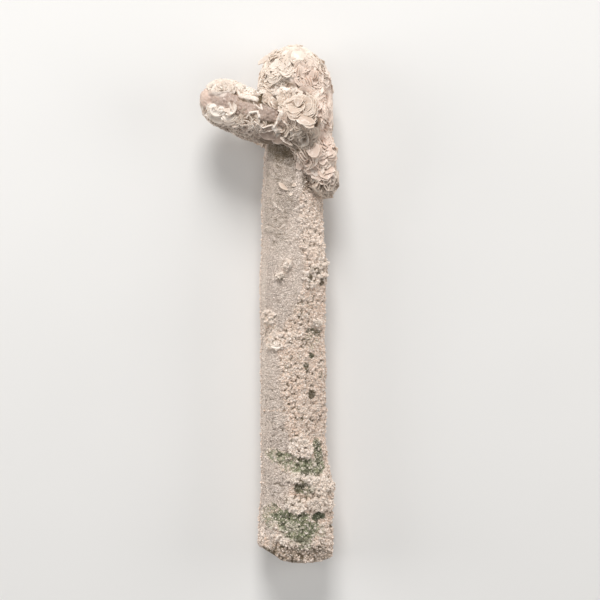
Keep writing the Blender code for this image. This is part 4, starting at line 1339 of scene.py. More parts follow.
@dataclass
class Crown:
    """The calcite crown: lobes, and the plates that cover them.

    blend and swell are in mm; leans holds the distance from a rosette's middle, in mm, and how
    far the plates there stand up, in degrees; tone_edge holds where a patch ends, in shares of
    its half lengths, and how steeply; covered_share is how much of a broad plate no others grow
    under; arm_lobes is how many of the lobes, from the first, make the arm and its knob, and
    fan_share the part of the arm's length at either end over which its rays fan out.
    """

    column: Column
    lobes: tuple[Lobe, ...] = LOBES
    blend: float = 1.1
    swell: float = 0.45
    swell_cell: float = 4.5
    back_rosette_spacing: float = 5.5
    leans: Profile = ((0.0, 62.0), (1.2, 48.0), (2.6, 34.0), (5.0, 26.0))
    lean_spread: float = 30.0
    tone_edge: tuple[float, float] = (1.2, 2.8)
    lobe_clearance: float = 0.96
    column_clearance: float = 0.2
    covered_share: float = 0.85
    core_dark: float = 0.5
    arm_lobes: int = 3
    fan_share: float = 0.16

    def outside(self, points: Array, lobes: tuple[Lobe, ...] = ()) -> tuple[Array, Array]:
        """How far outside the crown's blended lobes each point lies, and the way out.

        Each lobe gives the share of its half lengths, less 1, over that share's slope; the lobes
        are blended by the logarithm of the sum of their exponentials.

        Args:
            points: places, in mm.
            lobes: the lobes that count, or none for all of them.

        Returns:
            Distances, negative inside, and unit directions.
        """
        values, ways = [], []
        for lobe in lobes or self.lobes:
            scaled = lobe.scaled(points)
            share = np.maximum(np.linalg.norm(scaled, axis=-1), 0.05)
            slope = scaled / lobe.half / share[..., None]
            size = np.maximum(np.linalg.norm(slope, axis=-1), 1e-6)
            values.append((share - 1.0) / size)
            ways.append(turned(slope / size[..., None], lobe.turn))
        values = np.array(values)
        nearest = values.min(axis=0)
        weights = np.exp((nearest - values) / self.blend)
        way = unit(np.sum(weights[..., None] * np.array(ways), axis=0))
        return nearest - self.blend * np.log(weights.sum(axis=0)), way

    def onto(self, points: Array) -> tuple[Array, Array]:
        """The points moved onto the crown's swollen surface, and the way out there.

        Args:
            points: places, in mm.

        Returns:
            The moved points, and unit directions.
        """
        points = points.copy()
        for _ in range(6):
            distance, way = self.outside(points)
            points -= distance[..., None] * way
        lift = self.swell * noise(points, self.swell_cell, 6)
        return points + lift[..., None] * way, way

    def front_w(self, u: Array, v: Array) -> Array:
        """How far out of the front the foremost lobe stands at each place.

        Args:
            u: across the crystal, to the right.
            v: along the crystal.

        Returns:
            One height a place, endless and negative where there is no lobe.
        """
        front = np.full(np.shape(u), -np.inf)
        for lobe in self.lobes:
            level = lobe.centre[2]
            aside = lobe.scaled(np.stack([u, v, np.full_like(u, level)], axis=-1))
            aside = np.linalg.norm(aside, axis=-1)
            out = level + lobe.half[2] * np.sqrt(np.clip(1.0 - aside**2, 0.0, None))
            front = np.where(aside < 1.0, np.maximum(front, out), front)
        return front

    def on_front(self, seen: Array) -> Array:
        """Places on the foremost lobe where they are seen, found in three steps.

        Args:
            seen: the places, as they are seen.

        Returns:
            Points in the specimen's frame.
        """
        at = np.concatenate([seen, np.zeros((len(seen), 1))], axis=-1)
        for _ in range(3):
            w = self.front_w(at[:, 0], at[:, 1])
            at = EYE.behind(seen, np.where(np.isfinite(w), w, 0.0))
        return at

    def spread(self, spacing: float, seed: int) -> tuple[Array, Array]:
        """Places spread over the crown, and the way out at each.

        Each lobe gets a spiral of places a golden turn apart; those inside another lobe or
        inside the column are dropped, and the rest are shifted by chance and moved onto the
        blended surface.

        Args:
            spacing: distance between places, in mm.
            seed: picks one of many unlike spreads.

        Returns:
            The places, and unit directions.
        """
        kept = []
        for lobe in self.lobes:
            half = np.array(lobe.half)
            pairs = (half * np.roll(half, 1)) ** 1.6
            count = int(4.0 * math.pi * pairs.mean() ** (1.0 / 1.6) / spacing**2)
            k = np.arange(count) + 0.5
            height = 1.0 - 2.0 * k / count
            around = np.sqrt(1.0 - height**2)
            turn = k * GOLDEN_ANGLE + 6.0 * chance(1, seed)[0]
            sphere = np.stack([around * np.cos(turn), around * np.sin(turn), height], axis=-1)
            at = lobe.placed(sphere)
            others = [other.scaled(at) for other in self.lobes if other is not lobe]
            clear = np.linalg.norm(others, axis=-1) > self.lobe_clearance
            kept.append(at[clear.all(axis=0)])
        at = np.concatenate(kept)
        at, way = self.onto(at + 0.8 * spacing * swayed(len(at), seed + 1))
        clear = ~self.in_column(at) & (at[:, 2] > PLACE.floor_w + 0.2)
        return at[clear], way[clear]

    def in_column(self, points: Array) -> Array:
        """Whether each point lies inside the column.

        Args:
            points: places, in mm.

        Returns:
            One answer a point.
        """
        u, v, w = points.T
        middle, half = self.column.width(v)
        reach = self.column.section(np.arctan2(u - middle, w)) * half
        inside = np.hypot(u - middle, w) < reach - self.column_clearance
        return inside & (v < self.column.head_v)

    def rosettes(self) -> tuple[Array, Array]:
        """The middles that plates fan out from, and how their plates lean to one side.

        Returns:
            The places listed on the front with their listed leanings, then others spread over
            the back and sides with leanings by chance.
        """
        rows = np.array(FRONT_ROSETTES)
        front, _ = self.onto(self.on_front(rows[:, :2]))
        leaning = np.concatenate([rows[:, 2:], np.zeros((len(rows), 1))], axis=-1)
        rest, _ = self.spread(self.back_rosette_spacing, 70)
        away = np.linalg.norm(rest[:, None] - front[None], axis=-1).min(axis=1)
        rest = rest[(away > self.back_rosette_spacing) | (rest[:, 2] < -3.0)]
        by_chance = 2.4 * swayed(len(rest), 71)
        return np.concatenate([front, rest]), np.concatenate([1.2 * leaning, by_chance])

    def tones(self, at: Array) -> dict[str, Array]:
        """How far each place goes towards each field of Tone, the farthest patch counting.

        Args:
            at: places, in mm.

        Returns:
            One share a place, by the name of the field.
        """
        names = ("grey", "white", "pink", "dark", "fine", "bare")
        found = {name: np.zeros(len(at)) for name in names}
        seen, front = EYE.seen(at), smooth_step(at[:, 2] * 0.3 + 0.3)
        ragged = 0.22 * noise(at, 1.6, 31) + 0.1 * noise(at, 0.6, 32)
        ends_at, steepness = self.tone_edge
        for tone in TONES:
            inside = smooth_step((ends_at - tone.aside(seen) + ragged) * steepness) * front
            for name in names:
                found[name] = np.maximum(found[name], getattr(tone, name) * inside)
        for ridge in RIDGES:
            top = ridge.top(seen)
            found["bare"] = np.maximum(found["bare"], (top > 0.0) * front)
            white = ridge.white * smooth_step(1.6 * top) * front
            found["white"] = np.maximum(found["white"], white)
            for name in ("grey", "dark"):
                found[name] = found[name] * (1.0 - top * front)
        return found

    def relief(self, at: Array) -> Array:
        """How far the bare calcite stands out at each place of the front.

        The highest of the patches' round bulges, the deepest of their hollows, the ridges, fine
        upright flutes and a pitted roughness.

        Args:
            at: places, in mm.

        Returns:
            One rise a place, in mm.
        """
        seen, front = EYE.seen(at), smooth_step(at[:, 2] * 0.4 + 0.2)
        wavy = 0.16 * noise(at, 1.3, 33) + 0.08 * noise(at, 0.5, 37)
        high, low = np.zeros(len(at)), np.zeros(len(at))
        for tone in TONES:
            round_top = np.sqrt(np.clip(1.0 - (tone.aside(seen) + wavy) ** 2, 0.0, 1.0))
            high = np.maximum(high, tone.rise * round_top)
            low = np.minimum(low, tone.rise * smooth_step(round_top))
        up, knobbly = high + low, 0.9 + 0.3 * noise(at, 0.7, 38)
        for ridge in RIDGES:
            up = np.maximum(up, ridge.rise * ridge.top(seen + wavy[:, None]) * knobbly)
        flutes = 0.2 * noise(at * (2.6, 0.7, 1.0), 1.0, 34)
        pits = 0.26 * (lumps(at, 0.7, 35) - 0.5) + 0.16 * (lumps(at, 0.36, 36) - 0.5)
        return (up + flutes + pits) * front

    def tints(self, tones: dict[str, Array]) -> dict[Mark, Array]:
        """The marks that the tones give."""
        marks = {Mark.GREY: "grey", Mark.WHITE: "white", Mark.PINK: "pink", Mark.DEEP: "dark"}
        return {mark: tones[name] for mark, name in marks.items()}

    def varied(self, tones: dict[str, Array], seed: int) -> dict[Mark, Array]:
        """The marks that the tones give, more or less grey by chance and now and then pale.

        Args:
            tones: the tones where the plates are.
            seed: picks the chances.

        Returns:
            The marks.
        """
        tints = self.tints(tones)
        lot = chance(len(tints[Mark.GREY]), seed)
        tints[Mark.GREY] = np.clip(tints[Mark.GREY] * (0.5 + 0.8 * lot), 0.0, 1.0)
        other = chance(len(lot), seed + 1)
        tints[Mark.WHITE] = np.maximum(tints[Mark.WHITE], 0.9 * smooth_step((other - 0.74) * 8.0))
        shaded = 0.5 * tints[Mark.GREY] * smooth_step((0.3 - other) * 8.0)
        tints[Mark.DEEP] = np.maximum(tints[Mark.DEEP] * (0.6 + 0.6 * lot), shaded)
        return tints

    def under_broad(self, at: Array) -> Array:
        """Whether each place is seen inside one of the broad plates.

        Args:
            at: places, in mm.

        Returns:
            One answer a place.
        """
        under, seen = np.zeros(len(at), bool), EYE.seen(at)
        for u, v, radius, long, turn, dip, tilt, *_ in stacked(BROAD_PLATES):
            along, across = along_across(seen[:, 0] - u, seen[:, 1] - v, turn)
            length = self.covered_share * long * math.cos(math.radians(dip))
            width = self.covered_share * radius * max(math.cos(math.radians(tilt)), 0.5)
            under |= np.hypot(along / length, across / width) < 1.0
        return under & (at[:, 2] > 0.0)

    def scales(
        self, spacing: float, radius: tuple[float, float], side: Side, seed: int
    ) -> Plates:
        """The plates that cover the crown, each leaning by how near it is to a rosette's middle.

        Near a middle they stand up and further out they lie down and overlap like scales, their
        free edges pointing away from it and to the side that the rosette leans to.

        Args:
            spacing: distance between plates, in mm.
            radius: smallest and largest radius.
            side: which part of the crown to cover.
            seed: picks one of many unlike covers.

        Returns:
            The plates.
        """
        at, out = self.spread(spacing, seed)
        tones = self.tones(at)
        keep = side.holds(at) & ~self.under_broad(at) & (tones["bare"] < 0.5)
        at, out, tones = at[keep], out[keep], {name: tone[keep] for name, tone in tones.items()}
        count = len(at)
        middles, leaning = self.rosettes()
        apart = np.linalg.norm(at[:, None] - middles[None], axis=-1)
        nearest = apart.argmin(axis=1)
        distance = apart[np.arange(count), nearest]
        away = unit(at - middles[nearest]) + leaning[nearest]
        away = unit(squared(away, out) + 1e-6)
        lot = chance(count, seed + 11)
        lean = read_off(distance, self.leans)
        lean = np.radians(lean + self.lean_spread * (chance(count, seed + 12) - 0.5))[:, None]
        twist = 0.8 * (chance(count, seed + 13) - 0.5)[:, None]
        away = unit(away + twist * np.cross(out, away))
        facing = out * np.cos(lean) - away * np.sin(lean)
        free_edge = away * np.cos(lean) + out * np.sin(lean)
        size = (radius[0] + (radius[1] - radius[0]) * lot**1.5) * (1.0 - 0.5 * tones["fine"])
        sunk = (0.66 * size * np.sin(lean[:, 0]) - 0.2 - 0.6 * self.relief(at))[:, None]
        return Plates(
            at=at - out * sunk,
            facing=unit(facing),
            free_edge=unit(free_edge),
            radius=size * (1.05 + 0.3 * chance(count, seed + 16)),
            long=size * (0.8 + 0.25 * chance(count, seed + 14)),
            thickness=0.2 + 0.14 * chance(count, seed + 15),
            cup=np.clip(0.45 * size / np.maximum(distance, 0.5), 0.08, 0.4),
            tints=self.varied(tones, seed + 17),
            buried=0.7,
        )

    def broad(self) -> Plates:
        """The broad plates of the front, each set on the foremost lobe where it is seen.

        Returns:
            The plates.
        """
        rows = stacked(BROAD_PLATES)
        at = self.on_front(rows[:, :2])
        _, out = self.outside(at)
        at[:, 2] += rows[:, 7]
        return laid(rows, at, unit(out + (0.0, 0.0, 1.2)), self.tints(self.tones(at)))

    def dressed(self, points: Array, way: Array) -> tuple[Array, dict[Mark, Array]]:
        """The core's points moved into relief where it is bare, and its marks.

        Where plates hide it, it is lumpy, a little shrunk and painted darker, as shade under the
        plates.

        Args:
            points: the plain core's points.
            way: the way out at each.

        Returns:
            The moved points and the marks.
        """
        tones = self.tones(points)
        bare = tones["bare"]
        rough = 0.35 * noise(points, 1.8, 16) + 0.5 * (lumps(points, 1.2, 17) - 0.5) - 0.35
        lift = rough * (1.0 - bare) + self.relief(points) * np.maximum(bare, 0.6)
        marks = self.tints(tones)
        # Painted shade on the core where plates hide it.
        marks[Mark.DEEP] = np.maximum(marks[Mark.DEEP], self.core_dark * (1.0 - bare))
        marks |= {Mark.RIM: np.zeros(len(points)), Mark.TINT: np.full(len(points), 0.6)}
        return points + lift[:, None] * way, marks

    def core(self, around: int = 112) -> Surface:
        """The other lobes that the plates grow from, each a ball drawn out to its half lengths.

        Args:
            around: corners in a ring of a ball.

        Returns:
            The lobes as one surface.
        """
        sphere, patterns = ball(around)
        lobes = self.lobes[self.arm_lobes :]
        points = np.concatenate([lobe.placed(sphere) for lobe in lobes])
        ways = [unit(turned(sphere / lobe.half, lobe.turn)) for lobe in lobes]
        faces = [many(len(lobes), pattern, len(sphere)) for pattern in patterns]
        moved, marks = self.dressed(points, np.concatenate(ways))
        return Surface(moved, faces, marks)

    def arm(self, around: int = 224, along: int = 200) -> Surface:
        """The arm and its knob in one surface, drawn in relief.

        Rays leave an axis through its lobes' middles, fanning out as on a ball at the two ends
        and square to the axis between them; each ends where it leaves the blended lobes. There
        are more of them towards the front.

        Args:
            around: rays round the axis.
            along: rays from end to end.

        Returns:
            The surface.
        """
        lobes = self.lobes[: self.arm_lobes]
        middles = np.array([lobe.centre for lobe in lobes])
        axis = unit(middles[-1] - middles[0])
        across = unit(np.cross(axis, (0.0, 0.0, 1.0)))
        out = np.cross(across, axis)
        place = np.linspace(0.0, 1.0, along + 2)[1:-1]
        ends = (self.fan_share, 1.0 - self.fan_share)
        fanned = np.interp(place, (0.0, *ends, 1.0), (0.0, 0.5, 0.5, 1.0))
        share = np.interp(place, ends, (0.0, 2.0))
        start = np.stack([np.interp(share, range(3), line) for line in middles.T], axis=-1)
        turn = full_circle(around, 0.5)[None, :, None]
        lean = (fanned * math.pi)[:, None, None]
        rays = -np.cos(lean) * axis + np.sin(lean) * (np.cos(turn) * out + np.sin(turn) * across)
        rays = np.concatenate([rays.reshape(-1, 3), [-axis, axis]])
        start = np.concatenate([np.repeat(start, around, axis=0), middles[[0, -1]]])
        reach = np.full(len(rays), 1.0)
        for _ in range(28):
            distance, way = self.outside(start + reach[:, None] * rays, lobes)
            reach -= distance
        moved, marks = self.dressed(start + reach[:, None] * rays, way)
        return Surface(moved, capped(along, around), marks)

    def crumbs(self, spacing: float, seed: int) -> Surface:
        """Small grains of calcite where the plates are smallest, and a few elsewhere.

        Args:
            spacing: distance between places, in mm.
            seed: picks the places and sizes.

        Returns:
            The grains as one surface.
        """
        at, out = self.spread(spacing, seed)
        tones = self.tones(at)
        lot = chance(len(at), seed + 5)
        keep = (tones["fine"] > 0.3 + 0.6 * lot) | ((lot > 0.93) & (tones["bare"] < 0.3))
        at, out, lot = at[keep], out[keep], lot[keep]
        tones = {name: tone[keep] for name, tone in tones.items()}
        count = len(at)
        size = 0.16 + 0.26 * chance(count, seed + 9) ** 1.5
        lift = 0.2 + self.relief(at) * np.maximum(tones["bare"], 0.6)
        at, facing = at + lift[:, None] * out, unit(out + 1.4 * swayed(count, seed + 6))
        made = crystals(at, facing, size, 1.1 * size, 5, self.tints(tones))
        made.marks[Mark.RIM] *= 0.5
        return made


# ---- Finishes ----


def shade(red: int, green: int, blue: int) -> tuple[float, float, float, float]:
    """A colour on the usual scale of 0 to 255 as linear light."""
    shares = [value / 255.0 for value in (red, green, blue)]
    linear = [s / 12.92 if s <= 0.04045 else ((s + 0.055) / 1.055) ** 2.4 for s in shares]
    return (*linear, 1.0)


Socket = bpy.types.NodeSocket
Feed = Socket | float | tuple


@dataclass
class Nodes:
    """Adds nodes to a tree and joins them."""

    tree: bpy.types.NodeTree

    def feed(self, inputs: bpy.types.NodeInputs, feeds: dict[str | int, Feed]) -> None:
        """Joins sockets to a node's inputs, and sets the inputs that are given a value.

        Args:
            inputs: the node's inputs.
            feeds: what some of them are given: a socket to join, or a value.
        """
        for name, value in feeds.items():
            if isinstance(value, Socket):
                self.tree.links.new(value, inputs[name])
            else:
                inputs[name].default_value = value

    def add(self, kind: str, feeds: dict | None = None, **settings: object) -> bpy.types.Node:
        """Adds a node.

        Args:
            kind: the node's type.
            feeds: what each input is given: a socket to join to it, or a value.
            **settings: the node's own settings.

        Returns:
            The node.
        """
        node = self.tree.nodes.new(kind)
        for name, value in settings.items():
            setattr(node, name, value)
        self.feed(node.inputs, feeds or {})
        return node

    def mark(self, mark: Mark) -> Socket:
        """A mark of the mesh, as a value."""
        return self.add("ShaderNodeAttribute", attribute_name=mark.value).outputs["Fac"]

    def join(self, operation: str, first: Feed, second: Feed) -> Socket:
        """Two values put together, kept from 0 to 1."""
        feeds = {0: first, 1: second}
        return self.add("ShaderNodeMath", feeds, operation=operation, use_clamp=True).outputs[0]

    def mix(self, share: Feed, first: Feed, second: Feed) -> Socket:
        """Two colours mixed."""
        feeds = {0: share, 6: first, 7: second}
        return self.add("ShaderNodeMix", feeds, data_type="RGBA").outputs[2]

    def spread(self, value: Feed, low: float, high: float, to: tuple = (0.0, 1.0)) -> Socket:
        """Draws a value out so that low and high reach the two ends of a range.

        Args:
            value: what is drawn out.
            low: what becomes the start of the range.
            high: what becomes its end.
            to: the range.

        Returns:
            The drawn-out value, eased at both ends.
        """
        feeds = {"Value": value, "From Min": low, "From Max": high}
        feeds |= {"To Min": to[0], "To Max": to[1]}
        node = self.add("ShaderNodeMapRange", feeds, interpolation_type="SMOOTHSTEP")
        return node.outputs["Result"]

    def bumped(self, height: Socket, strength: float, distance: float) -> Socket:
        """A normal tilted by the slopes of a height."""
        feeds = {"Height": height, "Strength": strength, "Distance": distance}
        return self.add("ShaderNodeBump", feeds).outputs["Normal"]

    def group(self, tree: bpy.types.NodeTree, **feeds: Feed) -> dict[str, Socket]:
        """Places a group.

        Args:
            tree: the group.
            **feeds: what its inputs are given, by their names with _ for each space.

        Returns:
            The group's outputs, by name.
        """
        node = self.add("ShaderNodeGroup", node_tree=tree)
        self.feed(node.inputs, {name.replace("_", " "): value for name, value in feeds.items()})
        return {socket.name: socket for socket in node.outputs}


def new_group(
    name: str, takes: dict[str, float], gives: tuple[str, ...]
) -> tuple[Nodes, bpy.types.NodeOutputs, bpy.types.NodeInputs]:
    """An empty group.

    Args:
        name: the group's name.
        takes: its inputs, each a number with a default.
        gives: its outputs, each a number.

    Returns:
        What adds nodes to it, the sockets of its inputs, and those that its outputs take.
    """
    tree = bpy.data.node_groups.new(name, "ShaderNodeTree")
    kind = "NodeSocketFloat"
    for label, value in takes.items():
        tree.interface.new_socket(label, in_out="INPUT", socket_type=kind).default_value = value
    for label in gives:
        tree.interface.new_socket(label, in_out="OUTPUT", socket_type=kind)
    nodes = Nodes(tree)
    return nodes, nodes.add("NodeGroupInput").outputs, nodes.add("NodeGroupOutput").inputs


def mottle_group() -> bpy.types.NodeTree:
    """Cloudy patches and fine flecks: two noises, each drawn out to the full range.

    Returns:
        The group.
    """
    scales = {"Cloud Scale": 120.0, "Fleck Scale": 900.0}
    nodes, takes, gives = new_group("mottle", scales, ("Cloud", "Fleck"))
    place = nodes.add("ShaderNodeTexCoord").outputs["Object"]
    for name, low, high in (("Cloud", 0.32, 0.68), ("Fleck", 0.36, 0.64)):
        feeds = {"Vector": place, "Scale": takes[f"{name} Scale"], "Detail": 4.0, "Roughness": 0.6}
        noisy = nodes.add("ShaderNodeTexNoise", feeds).outputs["Fac"]
        nodes.feed(gives, {name: nodes.spread(noisy, low, high)})
    return nodes.tree


def grain_group() -> bpy.types.NodeTree:
    """Packed grains: rounded height, the gaps between them, which the coat paints dark as shade,
    and a lot for each grain.

    Returns:
        The group.
    """
    nodes, takes, gives = new_group("grain", {"Scale": 2400.0}, ("Height", "Gap", "Lot"))
    place = nodes.add("ShaderNodeTexCoord").outputs["Object"]
    noisy = nodes.add("ShaderNodeTexNoise", {"Vector": place, "Scale": 1500.0, "Detail": 1.0})
    feeds = {0: noisy.outputs["Color"], "Scale": 0.0003}
    shift = nodes.add("ShaderNodeVectorMath", feeds, operation="SCALE")
    moved = nodes.add("ShaderNodeVectorMath", {0: place, 1: shift.outputs[0]}, operation="ADD")
    feeds = {"Vector": moved.outputs[0], "Scale": takes["Scale"]}
    cells = nodes.add("ShaderNodeTexVoronoi", feeds).outputs
    height = nodes.spread(cells["Distance"], 0.0, 0.85, (1.0, 0.0))
    gap = nodes.spread(cells["Distance"], 0.5, 0.85)
    lot = nodes.add("ShaderNodeSeparateColor", {0: cells["Color"]}).outputs["Red"]
    nodes.feed(gives, {"Height": height, "Gap": gap, "Lot": lot})
    return nodes.tree


class Groups(NamedTuple):
    """The node groups that the finishes share."""

    mottle: bpy.types.NodeTree
    grain: bpy.types.NodeTree


@dataclass(frozen=True)
class Finish:
    """What every finish has: a name, and a Principled shader fed by the nodes of its kind."""

    name: str

    def feeds(self, nodes: Nodes, groups: Groups) -> dict[str, Feed]:
        """Adds the nodes; each kind of finish has its own.

        Args:
            nodes: what adds nodes to the material.
            groups: the groups to place.

        Returns:
            What the shader's inputs are given, by name.
        """
        raise NotImplementedError

    def material(self, groups: Groups) -> bpy.types.Material:
        """Builds the material.

        Args:
            groups: the groups to place.

        Returns:
            The material.
        """
        made = bpy.data.materials.new(self.name)
        made.use_nodes = True
        nodes = Nodes(made.node_tree)
        shader = made.node_tree.nodes["Principled BSDF"]
        nodes.feed(shader.inputs, self.feeds(nodes, groups))
        return made


@dataclass(frozen=True)
class Druse(Finish):
    """The fine quartz coat: cream and grey grains, stained green in the hollows.

    lit says how far single crystals, picked by their own tint, go towards a pale colour, partly
    their own tone and partly painted highlight; their feet are then painted darker than their
    points, as shade.
    """

    warm: tuple = shade(220, 202, 188)
    cool: tuple = shade(188, 172, 161)
    rosy: tuple = shade(255, 226, 204)
    pale: tuple = shade(255, 240, 228)
    green: tuple = shade(116, 120, 85)
    # dark_green and shadow are the colours of painted shade, in green places and elsewhere.
    dark_green: tuple = shade(78, 82, 58)
    pale_green: tuple = shade(192, 193, 164)
    white: tuple = shade(252, 238, 224)
    shadow: tuple = shade(92, 76, 46)
    grain_scale: float = 3000.0
    bump: float = 0.8
    roughness: tuple[float, float] = (0.75, 0.4)
    lit: float = 0.0

    def feeds(self, nodes: Nodes, groups: Groups) -> dict[str, Feed]:
        """The coat's colour, roughness and bump, and the refraction of quartz."""
        clouds = nodes.group(groups.mottle, Cloud_Scale=110.0, Fleck_Scale=1300.0)
        grains = nodes.group(groups.grain, Scale=self.grain_scale)
        colour = nodes.mix(clouds["Cloud"], self.cool, self.warm)
        coarse = nodes.spread(nodes.mark(Mark.COARSE), 0.2, 1.0, (0.0, 0.7))
        colour = nodes.mix(coarse, colour, self.rosy)
        colour = nodes.mix(nodes.spread(grains["Lot"], 0.3, 1.0, (0.0, 0.85)), colour, self.pale)
        stain = nodes.mix(grains["Lot"], self.green, self.pale_green)
        frayed = nodes.spread(clouds["Fleck"], 0.0, 1.0, (-0.25, 0.2))
        ragged = nodes.join("ADD", nodes.mark(Mark.GREEN), frayed)
        colour = nodes.mix(nodes.spread(ragged, 0.1, 0.8), colour, stain)
        broken = nodes.spread(clouds["Fleck"], 0.0, 0.6, (0.55, 1.0))
        crust = nodes.join("MULTIPLY", nodes.mark(Mark.WHITE), broken)
        colour = nodes.mix(crust, colour, self.white)
        if self.lit > 0.0:
            # Some crystals, picked by their tint, go pale: partly their own tone, partly painted
            # highlight.
            tint = nodes.spread(nodes.mark(Mark.TINT), 0.3, 1.0, (0.0, self.lit))
            colour = nodes.mix(tint, colour, self.pale)
            # Painted shade: each crystal darker at its foot than at its point.
            point = nodes.spread(nodes.mark(Mark.RIM), 0.0, 1.0, (0.36, 0.0))
            colour = nodes.mix(point, colour, self.shadow)
        else:
            # Painted shade in the gaps between grains.
            gap = nodes.spread(grains["Gap"], 0.0, 1.0, (0.0, 0.45))
            colour = nodes.mix(gap, colour, self.shadow)
        # Painted shade where the mesh's shade mark says, greener in green places.
        deep = nodes.spread(nodes.mark(Mark.DEEP), 0.1, 1.0, (0.0, 0.9))
        deepest = nodes.mix(nodes.mark(Mark.GREEN), self.shadow, self.dark_green)
        return {
            "Base Color": nodes.mix(deep, colour, deepest),
            "Roughness": nodes.spread(grains["Lot"], 0.7, 1.0, self.roughness),
            "Normal": nodes.bumped(grains["Height"], self.bump, 0.0003),
            "IOR": 1.54,
        }


@dataclass(frozen=True)
class Calcite(Finish):
    """The crown's calcite: grey to pink plates with paler rims, a little light showing through."""

    face: tuple = shade(206, 184, 166)
    face_dark: tuple = shade(168, 145, 127)
    rim: tuple = shade(232, 216, 200)
    pink_rim: tuple = shade(233, 212, 197)
    grey: tuple = shade(154, 135, 124)
    pink: tuple = shade(217, 189, 173)
    white: tuple = shade(244, 232, 220)
    shadow: tuple = shade(92, 74, 48)
    rim_from: float = 0.1
    roughness: tuple[float, float] = (0.5, 0.3)

    def feeds(self, nodes: Nodes, groups: Groups) -> dict[str, Feed]:
        """The plates' colour, roughness and bump, and the light that shows through them."""
        clouds = nodes.group(groups.mottle, Cloud_Scale=260.0, Fleck_Scale=1500.0)
        grains = nodes.group(groups.grain, Scale=2200.0)
        colour = nodes.mix(nodes.mark(Mark.TINT), self.face_dark, self.face)
        colour = nodes.mix(nodes.mark(Mark.GREY), colour, self.grey)
        colour = nodes.mix(nodes.mark(Mark.PINK), colour, self.pink)
        colour = nodes.mix(nodes.spread(clouds["Fleck"], 0.3, 1.0, (0.0, 0.3)), colour, self.face)
        colour = nodes.mix(nodes.mark(Mark.WHITE), colour, self.white)
        rim = nodes.spread(nodes.mark(Mark.RIM), self.rim_from, 1.0)
        rim = nodes.join("MULTIPLY", rim, nodes.spread(clouds["Cloud"], 0.0, 1.0, (0.55, 1.0)))
        colour = nodes.mix(rim, colour, nodes.mix(nodes.mark(Mark.PINK), self.rim, self.pink_rim))
        return {
            # Painted shade where the mesh's shade mark says.
            "Base Color": nodes.mix(nodes.mark(Mark.DEEP), colour, self.shadow),
            "Roughness": nodes.spread(clouds["Fleck"], 0.0, 1.0, self.roughness),
            "Normal": nodes.bumped(grains["Height"], 0.12, 0.0002),
            "Subsurface Weight": 0.1,
            "Subsurface Radius": (1.0, 0.8, 0.7),
            "Subsurface Scale": 0.0008,
            "IOR": 1.5,
        }


@dataclass(frozen=True)
class Paper(Finish):
    """The floor: plain pale paper, very faintly clouded."""

    colour: tuple = shade(226, 224, 221)
    light: tuple = shade(232, 230, 227)

    def feeds(self, nodes: Nodes, groups: Groups) -> dict[str, Feed]:
        """The paper's colour, at one roughness; it has no grains."""
        clouds = nodes.group(groups.mottle, Cloud_Scale=3.0, Fleck_Scale=20.0)
        return {"Base Color": nodes.mix(clouds["Cloud"], self.colour, self.light), "Roughness": 0.9}


# ---- The studio ----


@dataclass(frozen=True)
class Lamp:
    """A soft square light: where it is, what it is aimed at, its side in metres and its power."""

    name: str
    at: tuple[float, float, float]
    aim: tuple[float, float, float]
    side: float
    power: float


@dataclass(frozen=True)
class Studio:
    """Camera straight above, soft light from beyond the crown, and a plain pale floor."""

    camera_at: tuple[float, float, float] = (0.00808, 0.00073, 0.373)
    lens: float = 80.8
    floor_half: float = 1.2
    world_strength: float = 0.18
    lamps: tuple[Lamp, ...] = (
        Lamp("key", (-0.02, 0.52, 0.4), (0.0, 0.01, 0.01), 0.26, 3.65),
        Lamp("fill", (0.02, -0.05, 0.62), (0.0, 0.0, 0.0), 0.5, 0.8),
        Lamp("left", (-0.5, 0.05, 0.22), (0.0, 0.0, 0.01), 0.3, 1.1),
        Lamp("right", (0.5, 0.05, 0.22), (0.0, 0.0, 0.01), 0.3, 0.9),
    )

    def aimed(self, obj: bpy.types.Object, at: Array, aim: Array) -> None:
        """Puts a lamp somewhere and turns it to look at a point: its -Z along the way there.

        Args:
            obj: the lamp.
            at: where it goes, in metres.
            aim: what it looks at.
        """
        away = unit(np.array(at) - np.array(aim))
        across, up = square_to(away[None])
        matrix = np.eye(4)
        matrix[:3] = np.stack([across[0], up[0], away, at], axis=1)
        obj.matrix_world = matrix.T

    def light(self) -> None:
        """Hangs the lamps and sets the world's plain grey light."""
        for lamp in self.lamps:
            data = bpy.data.lights.new(lamp.name, "AREA")
            data.shape, data.size, data.energy = "SQUARE", lamp.side, lamp.power
            self.aimed(in_scene(lamp.name, data), lamp.at, lamp.aim)
        world = bpy.data.worlds.new("soft_grey")
        world.use_nodes = True
        light = {"Color": (1.0, 1.0, 1.0, 1.0), "Strength": self.world_strength}
        Nodes(world.node_tree).feed(world.node_tree.nodes["Background"].inputs, light)
        bpy.context.scene.world = world
        bpy.context.scene.view_settings.view_transform = "Standard"

    def floor(self, paper: bpy.types.Material) -> None:
        """Lays the floor: one square at the height the specimen lies on.

        Args:
            paper: its finish.
        """
        half = self.floor_half
        corners = [(-half, -half, 0.0), (half, -half, 0.0), (half, half, 0.0), (-half, half, 0.0)]
        mesh = bpy.data.meshes.new("floor")
        mesh.from_pydata(corners, [], [(0, 1, 2, 3)])
        mesh.materials.append(paper)
        laid = in_scene("floor", mesh)

    def camera(self) -> None:
        """Sets the camera straight above, the crown at the top of its view."""
        data = bpy.data.cameras.new("camera")
        data.lens, data.sensor_width = self.lens, 36.0
        data.clip_start, data.clip_end = 0.01, 10.0
        held = in_scene("camera", data)
        held.location = self.camera_at
        bpy.context.scene.camera = held


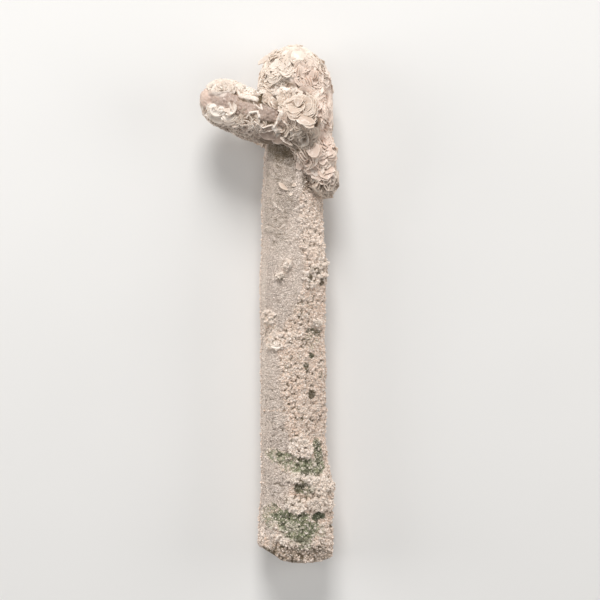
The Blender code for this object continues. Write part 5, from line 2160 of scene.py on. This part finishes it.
def main() -> None:
    """Builds the specimen piece by piece, then the studio."""
    logging.basicConfig(level=logging.INFO, format="%(name)s: %(message)s", stream=sys.stdout)
    for other in [o for o in bpy.data.objects if o.name in ("Cube", "Light", "Camera")]:
        bpy.data.objects.remove(other)
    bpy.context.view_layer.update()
    groups = Groups(mottle_group(), grain_group())
    crust = Druse("druse").material(groups)
    points = Druse("druse_points", lit=0.95, bump=0.15, roughness=(0.5, 0.2)).material(groups)
    calcite = Calcite("calcite").material(groups)
    column = Column()

    skin = PLACE.piece("column_skin", column.skin(), crust, 60.0)
    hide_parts("quartz_column")
    for size in (
        Grains("column_crust_grains", 0.95, (0.35, 0.75), (0.2, 0.65), 6, (0.3, 2.0), 30, 0.25),
        Grains("column_coarse_grains", 0.62, (0.2, 0.5), (0.14, 0.55), 5, (0.35, 2.0), 40),
        Grains("column_fine_grains", 0.4, (0.1, 0.22), (0.08, 0.26), 4, (-1.0, 0.6), 50),
    ):
        PLACE.piece(size.name, size.surface(column), points)

    shards = shards_on(column).surface(14, (0.35, 0.7, 1.0), 97)
    PLACE.piece("column_plates", shards, calcite, 40.0)

    crown = Crown(column)
    core = PLACE.piece("crown_core", crown.core(), calcite, 60.0)
    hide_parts("blade_crown")
    covers = (
        ("crown_plates_dome", 0.78, (0.9, 2.0), Side.DOME, 80),
        ("crown_plates_arm", 0.7, (0.7, 1.6), Side.ARM, 84),
        ("crown_plates_flank", 0.78, (0.9, 2.0), Side.FLANK, 88),
        ("crown_plates_back", 1.0, (1.1, 2.3), Side.BACK, 90),
    )
    made = {name: crown.scales(*how).surface(8, (0.55, 1.0), how[-1] + 1) for name, *how in covers}
    made["crown_broad_plates"] = crown.broad().surface(18, (0.3, 0.6, 0.85, 1.0), 95)
    made["crown_arm"] = crown.arm()
    made["crown_crumbs"] = crown.crumbs(0.4, 64)
    for name, surface in made.items():
        PLACE.piece(name, surface, calcite, 40.0)

    studio = Studio()
    studio.light()
    studio.floor(Paper("floor_paper").material(groups))
    studio.camera()
    bpy.context.view_layer.update()


if __name__ == "__main__":
    main()
